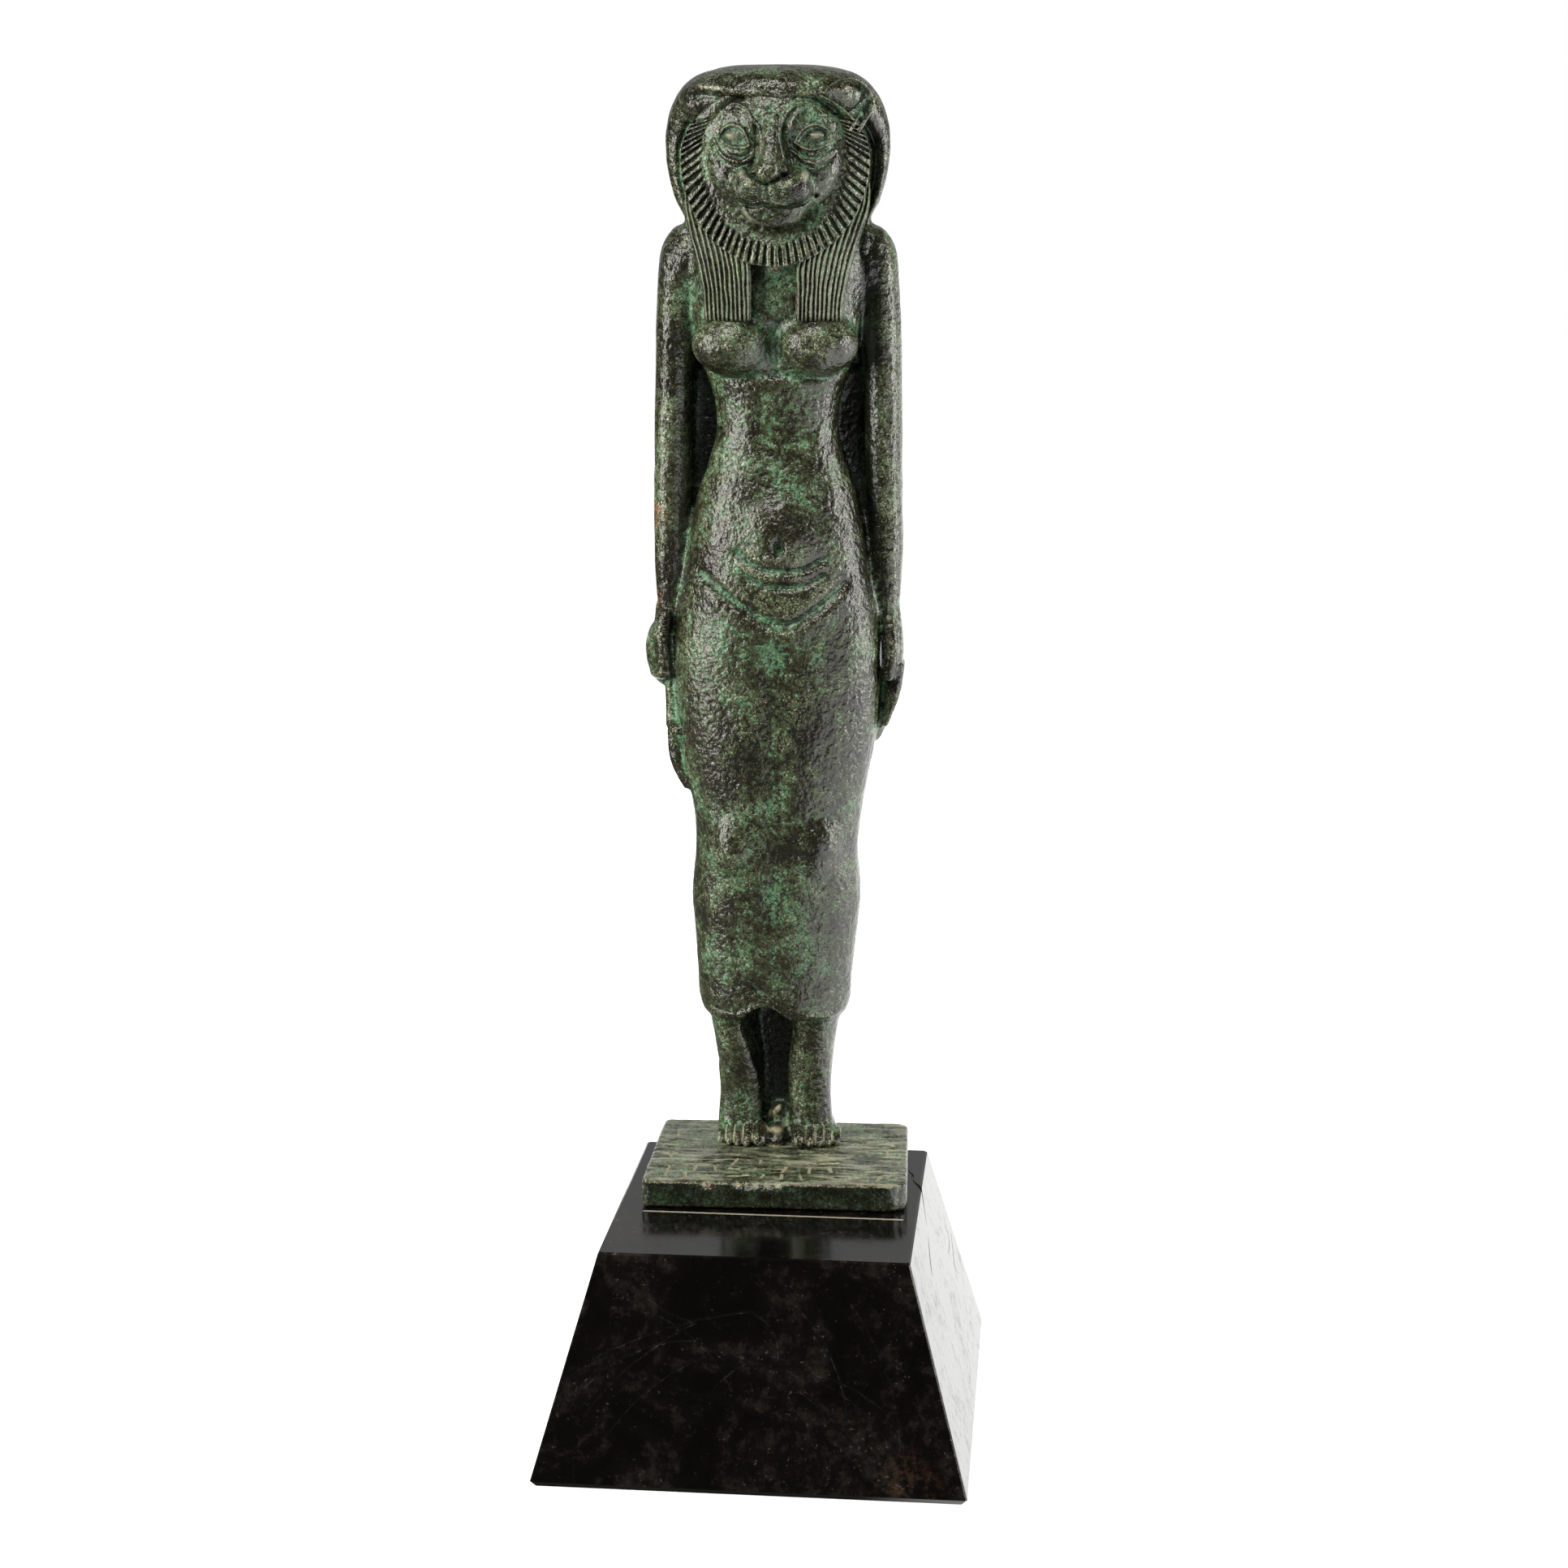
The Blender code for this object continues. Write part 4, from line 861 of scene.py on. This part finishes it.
def lappet(side):
    """One front lappet of the wig: strands that come from under the ruff and end in a level cut."""
    stations = [
        (151.5, 3.9, 12.0, 11.2, 9.9), (156.0, 3.9, 12.4, 11.3, 9.8), (161.0, 4.0, 13.4, 11.3, 9.0),
        (166.0, 5.0, 14.9, 10.0, 6.6), (171.0, 8.0, 16.2, 8.0, 2.6), (175.0, 10.0, 16.4, 6.0, 1.0),
    ]
    z, inner, outer, front_in, front_out = smooth_rows(stations, 150).T[:, :, None]
    share = np.linspace(0, 1, LAPPET_STRANDS * 12 + 1)[None]
    place = np.stack([share * 8 + 0 * z, 0.35 * z + 0 * share, 0 * z * share], axis=2).reshape(-1, 3)
    sway = soft_noise(place, 1.0, 31 + side).reshape(len(z), -1)
    phase = share * LAPPET_STRANDS + 0.16 * sway
    ridge = np.abs(np.sin(math.pi * phase)) ** 0.8
    fade = np.clip(np.minimum(share, 1 - share) * LAPPET_STRANDS * 2, 0, 1)
    lift = 0.5 * np.sin(math.pi * share) + 0.62 * (ridge * fade - 1) + 0.05 * sway
    lift = lift - 0.5 * peak(z, 151.5, 0.35) + 0.10 * peak(z, 152.6, 0.3)
    x = side * (inner + share * (outer - inner))
    y = -(front_in + share * (front_out - front_in) + lift)
    front = np.stack([x, y, z + 0 * share], axis=2)
    deep = -front_out + 4.0
    edges = [np.stack([side * edge, deep, z], axis=2) for edge in (outer, inner)]
    clay = Clay()
    clay.loft(np.concatenate([front, *edges], axis=1))
    obj = clay.piece("left_lappet" if side > 0 else "right_lappet")
    skin = Skin(obj)
    # Painted shade in the grooves between the strands.
    skin.mark("deep", over_front(np.clip(1.1 - 1.7 * ridge, 0, 1), 2))
    skin.mark("worn", 0.65 * over_front(np.clip(2.5 * ridge - 1.4, 0, 1), 2))
    skin.roughen(1.3, 0.03, 33)
    skin.finish(16, 0.30)
    return obj


def plate():
    """The cast plate with worn edges, chips along its front and rows of shallow strokes."""
    front, rear, depth = PLATE_WIDTH / 2, PLATE_BACK_WIDTH / 2, PLATE_DEPTH / 2
    corners = (
        (-front, -depth, PLATE_CORNER, 180), (front, -depth, PLATE_WORN_CORNER, 270),
        (rear, depth, PLATE_CORNER, 0), (-rear, depth, PLATE_CORNER, 90),
    )
    clay = Clay()
    rings = []
    top, edge = PLATE_THICKNESS, PLATE_EDGE
    for z, inset in ((0.0, edge), (edge, 0.0), (top - edge, 0.0), (top, edge)):
        ring = []
        for x, y, corner, at in corners:
            middle = np.array([x - math.copysign(corner, x), y - math.copysign(corner, y)])
            for turn in np.radians(at + np.linspace(0, 90, 7)):
                ring.append((*(middle + (corner - inset) * np.array([math.cos(turn), math.sin(turn)])), z))
        rings.append(ring)
    clay.loft(rings)
    obj = clay.piece("cast_plate")
    fuse(obj, PLATE_GRAIN, 2)
    skin = Skin(obj)
    skin.points *= 1000
    carve_plate(skin)
    skin.roughen(4.0, 0.06, 41)
    skin.roughen(1.3, 0.05, 43, 0.12)
    skin.points *= 0.001
    skin.finish(16, 0.0004)
    return obj


def short_stroke(x, y, turn, reach, bow=0.0):
    """A stroke's points, from its middle, its direction in degrees, half its length and its bow."""
    run = np.array([math.cos(math.radians(turn)), math.sin(math.radians(turn))]) * reach
    middle = np.array([x, y])
    return [middle - run, middle + bow * np.array([-run[1], run[0]]), middle + run]


def carve_plate(skin):
    """Strokes, chips and painted shade on the plate, in millimetres from its middle and its underside."""
    half, front = PLATE_WIDTH * 500 - STROKE_MARGIN, -PLATE_DEPTH * 500 + STROKE_MARGIN
    pitch = STROKE_PITCH
    count = int(2 * half / pitch)
    for row in range(3):
        shift = 2 * (row == 2)
        for k in range(count + 1 - 2 * shift):
            x = -half + (k + shift) * pitch + 0.7 * math.sin(5 * k + 3 * row)
            y = front + row * 0.9 * pitch
            turn = (90, 12, 102, 78, 165)[(2 * k + 3 * row) % 5]
            reach = (0.45 + 0.13 * ((k + row) % 4)) * pitch / 2
            path = short_stroke(x, y, turn, reach, 0.06 * (-1) ** k)
            skin.stroke(path, 0.30, -0.38, "cream", 0.85 + 0.3 * (k % 2), "top")
    for side in (-1, 1):
        for k in range(2, int((PLATE_DEPTH * 1000 - 2 * STROKE_MARGIN) / pitch)):
            turn = (10, 95, 160)[(k + side) % 3]
            path = short_stroke(side * half, front + (k + 0.4) * pitch, turn, 0.3 * pitch)
            skin.stroke(path, 0.26, -0.34, "cream", 0.9, "top")
    for k in range(FINE_LINES):
        x, y = 19.0 * math.sin(2.4 * k), front - 1.5 + 24.0 * (k * 0.618 % 1)
        reach = 1.5 + 3.0 * (k * 0.414 % 1)
        path = [(x - reach, y - 0.1), (x, y + 0.12 * math.sin(k)), (x + reach, y + 0.1)]
        # The dark lines have painted shade in their grooves, the others cream.
        skin.stroke(path, 0.18, -0.20, "deep" if k % 3 else "cream", 0.8, "top")
    edge, top = -PLATE_DEPTH * 500, PLATE_THICKNESS * 1000
    chips = (
        (-12.6, 0.9, 0.9), (-6.4, 1.1, 0.7), (-4.8, 0.8, 1.2),
        (-3.2, 1.0, 1.0), (-1.2, 1.2, 1.1), (0.6, 0.8, 0.8),
    )
    for x, wide, deep in chips:
        skin.swell((x, edge, top - 0.2), (wide, 0.9, 0.9), -deep, "cream")
    skin.swell((-11.6, edge, top - 0.6), (1.3, 1.0, 0.9), -0.3, "red", 0.9)
    for x in (-21.0, -17.5, -14.5, -9.5, 3.5, 7.0, 11.0, 15.0, 19.0):
        skin.swell((x, edge, top), (2.6, 0.5, 0.4), -0.06, "red", 0.75)
    skin.swell((23.0, edge, 3.0), (1.3, 1.3, 3.5), -0.7, "red", 0.5)
    streaks = soft_noise(skin.points * (0.25, 1.3, 1), 1.0, 45)
    upward = np.clip(skin.normals[:, 2], 0, 1)
    skin.mark("cream", np.clip((0.26 + 0.32 * streaks) * upward, 0, 0.8))
    # Painted shade on the plate's front face.
    skin.mark("deep", 0.85 * ramp(skin.points[:, 1], edge + 1.2, -1.0) * (skin.points[:, 2] < top - 0.5))
    rubbed = soft_noise(skin.points * (0.3, 1, 1), 0.8, 47)
    skin.marks["worn"] = upward * (0.44 + 0.32 * rubbed + 0.25 * streaks)


# Materials

class Value:
    """An output of a node that can be added, multiplied and compared like a number."""

    def __init__(self, tree, socket):
        self.tree, self.socket = tree, socket

    def worked(self, operation, *terms):
        return self.tree.node("ShaderNodeMath", {"operation": operation}, dict(enumerate(terms)))

    def __add__(self, other):
        return self.worked("ADD", self, other)

    def __sub__(self, other):
        return self.worked("SUBTRACT", self, other)

    def __mul__(self, other):
        return self.worked("MULTIPLY", self, other)

    def __rsub__(self, other):
        return self.worked("SUBTRACT", other, self)

    def __abs__(self):
        return self.worked("ABSOLUTE", self)

    __radd__ = __add__
    __rmul__ = __mul__

    def between(self, low, high, first=0.0, last=1.0):
        """The first value below the low one, the last above the high one, and smooth between them."""
        span = {"Value": self, "From Min": low, "From Max": high, "To Min": first, "To Max": last}
        return self.tree.node("ShaderNodeMapRange", {"interpolation_type": "SMOOTHSTEP"}, span)


class Tree:
    """The nodes of a material or of the world."""

    def __init__(self, owner):
        owner.use_nodes = True
        self.nodes, self.links = owner.node_tree.nodes, owner.node_tree.links

    def node(self, kind, settings, inputs, output=0):
        node = self.nodes.new(kind)
        for name, value in settings.items():
            setattr(node, name, value)
        for name, value in inputs.items():
            self.join(value, node.inputs[name])
        return Value(self, node.outputs[output])

    def join(self, value, socket):
        if isinstance(value, Value):
            self.links.new(value.socket, socket)
        elif isinstance(value, tuple) and len(socket.default_value) == 4:
            socket.default_value = (*value, 1)
        else:
            socket.default_value = value

    def mirrored_only(self, strength):
        """A strength that only a glossy surface that mirrors it gets."""
        return strength * self.node("ShaderNodeLightPath", {}, {}, "Is Glossy Ray")

    def show(self, seen, reflected, end):
        """Ends in the first shader for the camera and in the second one for light on the object."""
        camera_ray = self.node("ShaderNodeLightPath", {}, {}, "Is Camera Ray")
        shaders = {0: camera_ray, 1: Value(self, reflected.outputs[0]), 2: Value(self, seen.outputs[0])}
        self.join(self.node("ShaderNodeMixShader", {}, shaders), self.nodes[end].inputs["Surface"])


class Paint(Tree):
    """One material and its nodes."""

    def __init__(self, name, roughness):
        self.material = bpy.data.materials.new(name)
        super().__init__(self.material)
        self.shader = self.nodes["Principled BSDF"]
        self.shader.inputs["Roughness"].default_value = roughness
        self.place = self.node("ShaderNodeTexCoord", {}, {}, "Object")

    def vector(self, operation, *terms, output=0):
        return self.node("ShaderNodeVectorMath", {"operation": operation}, dict(enumerate(terms)), output)

    def noise(self, size, detail=2.0, roughness=0.5, twist=0.0):
        """Noise from 0 to 1 whose spots are about one size wide, in millimetres."""
        inputs = {"Vector": self.place, "Scale": 1000 / size, "Detail": detail, "Roughness": roughness}
        return self.node("ShaderNodeTexNoise", {}, {**inputs, "Distortion": twist})

    def mark(self, name):
        return self.node("ShaderNodeAttribute", {"attribute_name": name}, {}, "Fac")

    def mix(self, share, first, second):
        return self.node("ShaderNodeMix", {"data_type": "RGBA"}, {0: share, 6: first, 7: second}, 2)

    def distance(self, where, middle):
        """How far a place is from a point, in millimetres."""
        return self.vector("DISTANCE", where, metres(middle), output="Value") * 1000

    def spot(self, middle, reach):
        """1 at a point and 0 beyond its reach, in millimetres."""
        return 1 - self.distance(self.place, middle).between(0.2 * reach, reach)

    def axis(self, index):
        """The place along an axis, in millimetres."""
        return self.node("ShaderNodeSeparateXYZ", {}, {0: self.place}, index) * 1000

    def bump(self, height, depth, strength=1.0):
        relief = self.node("ShaderNodeBump", {}, {"Height": height, "Distance": depth, "Strength": strength})
        self.join(relief, self.shader.inputs["Normal"])

    def finish(self, colour, roughness):
        self.join(colour, self.shader.inputs["Base Color"])
        self.join(roughness, self.shader.inputs["Roughness"])
        return self.material


def patinated_bronze():
    """Dark bronze with grains of green, pale rubbed crests, red copper and cream in the hollows, painted
    shade in the deepest hollows, and painted highlights on parts of the face.
    """
    paint = Paint("patinated_bronze", 0.45)
    paint.shader.inputs["IOR"].default_value = 1.65
    cloud = paint.noise(24, 3)
    patch = paint.noise(6, 5, 0.68, 0.4)
    grain = paint.noise(0.9, 3, 0.7)
    speck = paint.noise(0.34, 2, 0.6)
    facet = paint.noise(1.1, 1.5)
    standing = paint.mark("standing")
    dark = paint.mix(cloud.between(0.35, 0.7), (0.012, 0.011, 0.006), (0.030, 0.022, 0.012))
    olive = paint.mix(patch.between(0.3, 0.7), (0.030, 0.037, 0.017), (0.075, 0.090, 0.046))
    green = paint.mix(speck.between(0.3, 0.7), (0.034, 0.105, 0.050), (0.150, 0.290, 0.160))
    spread = patch * 0.8 + grain * 1.1 + cloud * 0.5 - standing * 0.3
    colour = paint.mix(spread.between(1.04, 1.20), dark, olive)
    verdant = (spread - standing * 0.35).between(1.22, 1.38)
    colour = paint.mix(verdant, colour, green)
    pale = (speck + patch * 0.5 + standing * 0.3).between(0.88, 1.0)
    colour = paint.mix(pale * 0.6, colour, (0.46, 0.47, 0.32))
    pit = 1 - (facet * 0.5 + speck * 0.5 + standing * 0.12).between(0.40, 0.50)
    colour = paint.mix(pit * 0.85, colour, (0.006, 0.007, 0.004))
    copper = paint.spot((-21.5, 19.0, 161), 5) + paint.spot((-21.5, 19.0, 146), 4)
    copper = copper + paint.spot((-12.5, 9.0, 81), 3.5)
    crumbs = grain + patch * 0.5
    tint = paint.spot((-12.0, 12.0, 170), 10) * crumbs.between(0.7, 0.95) * 0.45
    copper = copper * crumbs.between(0.62, 0.85) + paint.mark("red") + tint
    colour = paint.mix(copper.between(0.2, 0.9) * 0.8, colour, (0.24, 0.085, 0.040))
    cream = (paint.mark("cream") * (0.6 + grain)).between(0.35, 0.8)
    colour = paint.mix(cream * 0.8, colour, (0.52, 0.47, 0.31))
    bare = (paint.mark("bare") + standing.between(0.3, 1.0) * 0.5).between(0.2, 1.0)
    colour = paint.mix(bare * 0.75, colour, (0.110, 0.100, 0.078))
    # Pale rubbed metal on crests, which on the face's lids, eyeballs, cheek knobs and chin is also a painted
    # highlight.
    worn = (paint.mark("worn") * (0.55 + grain * 0.9)).between(0.2, 1.0)
    colour = paint.mix(worn * 0.85, colour, (0.30, 0.31, 0.22))
    # Painted shade: near-black where the deep mark lies, in hollows, grooves and gaps, less where cream
    # fills them.
    deep = paint.mark("deep") * (1.0 - cream * 0.8)
    colour = paint.mix(deep * 0.92, colour, (0.004, 0.0055, 0.003))
    paint.bump(facet * 0.8 + grain * 0.4 + patch * 0.3 - bare * 0.2, 0.0004, 1.0)
    rough = 0.20 + verdant * 0.14 + pit * 0.05 + cream * 0.3 + worn * 0.08 - bare * 0.02
    return paint.finish(colour, rough)


def ring_through(first, middle, last):
    """The middle and the radius of the circle through three points."""
    (ax, ay), (bx, by), (cx, cy) = first, middle, last
    d = 2 * (ax * (by - cy) + bx * (cy - ay) + cx * (ay - by))
    a, b, c = ax * ax + ay * ay, bx * bx + by * by, cx * cx + cy * cy
    x = (a * (by - cy) + b * (cy - ay) + c * (ay - by)) / d
    y = (a * (cx - bx) + b * (ax - cx) + c * (bx - ax)) / d
    return x, y, math.hypot(ax - x, ay - y)


def black_stone():
    """Polished black stone with brown mottles, fine specks and dark hair scratches."""
    paint = Paint("black_stone", 0.16)
    cloud = paint.noise(16, 5, 0.65, 0.8)
    patch = paint.noise(2.2, 5, 0.7)
    speck = paint.noise(0.8, 3, 0.6)
    colour = paint.mix(cloud.between(0.35, 0.75), (0.0022, 0.0019, 0.0017), (0.0060, 0.0048, 0.0040))
    mottle = (patch + cloud * 0.9).between(0.94, 1.20)
    colour = paint.mix(mottle * 0.6, colour, (0.020, 0.016, 0.013))
    colour = paint.mix((speck + cloud * 0.4).between(0.86, 0.96) * 0.5, colour, (0.11, 0.09, 0.075))
    brown = paint.spot((27.0, -39.0, 3.0), 8) * (patch + speck * 0.4).between(0.62, 0.9)
    colour = paint.mix(brown * 0.45, colour, (0.075, 0.035, 0.022))
    flat = paint.vector("MULTIPLY", paint.place, (1, 0, 1))
    scratch = pale = 0
    for first, middle, last, wide in STONE_SCRATCHES:
        x, z, reach = ring_through(first, middle, last)
        off = abs(paint.distance(flat, (x, 0, z)) - reach + patch * 0.9 - 0.45)
        half = math.dist(first, last) / 2 + 1.0
        near = 1 - paint.distance(flat, (middle[0], 0, middle[1])).between(half - 2.5, half + 1.0)
        scratch = (1 - off.between(wide * 0.9, wide * 2.4)) * near + scratch
        pale = (1 - off.between(0.02, 0.10)) * near + pale
    front = 1 - paint.axis(1).between(-20, -10)
    scratch = scratch.between(0.1, 0.8) * speck.between(0.30, 0.45) * front
    colour = paint.mix(scratch * 0.95, colour, (0.0004, 0.0004, 0.0004))
    pale = pale.between(0.1, 0.8) * patch.between(0.50, 0.64) * front
    colour = paint.mix(pale * 0.7, colour, (0.045, 0.038, 0.032))
    along = abs(paint.axis(1) + PALE_LINE_FORWARD + speck * 0.3)
    across = abs(paint.axis(0) - PALE_LINE_MIDDLE)
    line = (1 - along.between(0.20, 0.42)) * (1 - across.between(PALE_LINE_HALF, PALE_LINE_HALF + 0.6))
    colour = paint.mix(line * paint.axis(2).between(38.4, 38.7) * 0.85, colour, (0.46, 0.42, 0.34))
    paint.bump(cloud * 0.25 + speck * 0.05, 0.00010, 0.6)
    rough = 0.10 + speck.between(0.55, 0.75) * 0.12 + mottle * 0.12 + cloud * 0.06 + scratch * 0.2
    return paint.finish(colour, rough)


# The stone

def side_face(z):
    """Where the plinth's face on her left lies at a height, in millimetres."""
    return SIDE_FOOT - SIDE_LEAN * z / SIDE_HEIGHT


def plinth():
    """The plinth with the cracks at its top edge and short scratches on its face on her left."""
    obj = show("black_plinth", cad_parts["stone_plinth"].data.copy())
    bm = bmesh.new()
    bm.from_mesh(obj.data)
    bmesh.ops.remove_doubles(bm, verts=bm.verts[:], dist=1e-6)
    bm.to_mesh(obj.data)
    bm.free()
    clay = Clay()
    for path, radii in STONE_CRACKS:
        clay.strand([metres(point) for point in path], metres(radii))
    for k in range(SIDE_SCRATCHES):
        y, z = -27.0 + 62.0 * (k * 0.755 % 1), 7.0 + 26.0 * (k * 0.570 % 1)
        reach = 0.5 + 1.6 * (k * 0.430 % 1)
        slant = 0.9 - 1.5 * (k * 0.324 % 1)
        heights = [z + share * reach for share in (-1, 0, 1)]
        path = [metres((side_face(height), y - slant * (height - z), height)) for height in heights]
        clay.strand(path, metres((0.04, 0.08, 0.04)))
    combine(obj, clay.piece("cracks"), "DIFFERENCE")
    return obj


# The pieces, in place

def coat(obj, finish):
    """Gives a piece its one material."""
    obj.data.materials.clear()
    obj.data.materials.append(finish)


def place(obj, matrix, finish):
    """Puts a piece of the bronze in its place and gives it its finish."""
    obj.data.transform(matrix)
    coat(obj, finish)
    obj.data.shade_smooth()
    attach(obj, "root")
    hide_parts("bronze_figure")


bronze = patinated_bronze()
for piece in (body(), face(), left_ear(), ruff(), lappet(-1), lappet(1)):
    place(piece, FIGURE, bronze)
place(plate(), BRONZE, bronze)

stone = plinth()
coat(stone, black_stone())
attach(stone, "root")
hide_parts("stone_plinth")


# The studio: a wide pale floor, a softbox and a fill on each side, a softbox overhead and a light behind

def floor():
    """A round floor that glows white for the camera and only from one side into the bronze."""
    turn = np.linspace(0, 2 * math.pi, 96, endpoint=False)
    mesh = bpy.data.meshes.new("studio_floor")
    ring = np.column_stack([6 * np.cos(turn), 6 * np.sin(turn), 0 * turn])
    mesh.from_pydata(ring.tolist(), [], [list(range(len(ring)))])
    paint = Paint("pale_floor", 0.9)
    side = paint.vector("DOT_PRODUCT", paint.place, (2.2, 1.0, 0.0), output="Value")
    away = paint.vector("LENGTH", paint.place, output="Value")
    dim = paint.nodes.new("ShaderNodeBsdfPrincipled")
    for shader, grey, glow in (
        (paint.shader, 0.85, away.between(0.1, 0.7, 0.55, 1.0)),
        (dim, 0.12, paint.mirrored_only(side.between(0.0, 0.04, 0.01, 1.6))),
    ):
        paint.join((grey, grey, grey), shader.inputs["Base Color"])
        paint.join(0.0, shader.inputs["Specular IOR Level"])
        paint.join((1, 1, 1), shader.inputs["Emission Color"])
        paint.join(glow, shader.inputs["Emission Strength"])
    paint.show(paint.shader, dim, "Material Output")
    mesh.materials.append(paint.material)
    obj = show("studio_floor", mesh)


def area_light(name, place, aim, width, height, power, glints=True):
    """A light like a lit cloth, which the bronze and the stone mirror only where it gives glints."""
    light = bpy.data.lights.new(name, "AREA")
    light.shape = "RECTANGLE"
    light.size, light.size_y = width, height
    light.energy = power
    light.color = (1.0, 0.985, 0.93)
    obj = show(name, light)
    obj.location = place
    obj.rotation_euler = (Vector(aim) - Vector(place)).to_track_quat("-Z", "Y").to_euler()
    obj.visible_glossy = glints


def studio_world():
    """A white backdrop for the camera and a dark room that is brighter behind the object."""
    world = bpy.data.worlds.new("pale_studio")
    tree = Tree(world)
    around = tree.node("ShaderNodeTexCoord", {}, {}, "Generated")
    behind = tree.node("ShaderNodeSeparateXYZ", {}, {0: around}, "Y")
    backdrop, room = tree.nodes["Background"], tree.nodes.new("ShaderNodeBackground")
    for background in (backdrop, room):
        tree.join((1, 1, 1), background.inputs["Color"])
    tree.join(1.0, backdrop.inputs["Strength"])
    tree.join(tree.mirrored_only(behind.between(0.3, 0.9, ROOM_GLOW, BEHIND_GLOW)), room.inputs["Strength"])
    tree.show(backdrop, room, "World Output")
    bpy.context.scene.world = world


bpy.context.scene.view_settings.view_transform = "Standard"
floor()
studio_world()
area_light("left_softbox", LEFT_LIGHT, CHEST, 0.20, 0.50, 3.2)
area_light("left_fill", LEFT_LIGHT, CHEST, 0.20, 0.50, 3.2, glints=False)
area_light("right_softbox", RIGHT_LIGHT, CHEST, 0.16, 0.50, 2.6)
area_light("right_fill", RIGHT_LIGHT, CHEST, 0.16, 0.50, 2.0, glints=False)
area_light("back_softbox", (0.15, 0.70, 0.22), WAIST, 0.50, 0.50, 7.0, glints=False)
area_light("top_softbox", (-0.10, -0.45, 0.75), WAIST, 0.25, 0.25, 2.5)

camera = show("camera", bpy.data.cameras.new("camera"))
camera.location = CAMERA_PLACE
camera.rotation_euler = (math.pi / 2 - CAMERA_DOWN, 0, CAMERA_TURN)
camera.data.lens = CAMERA_LENS
camera.data.sensor_width = 36.0
camera.data.clip_start = 0.01
bpy.context.scene.camera = camera
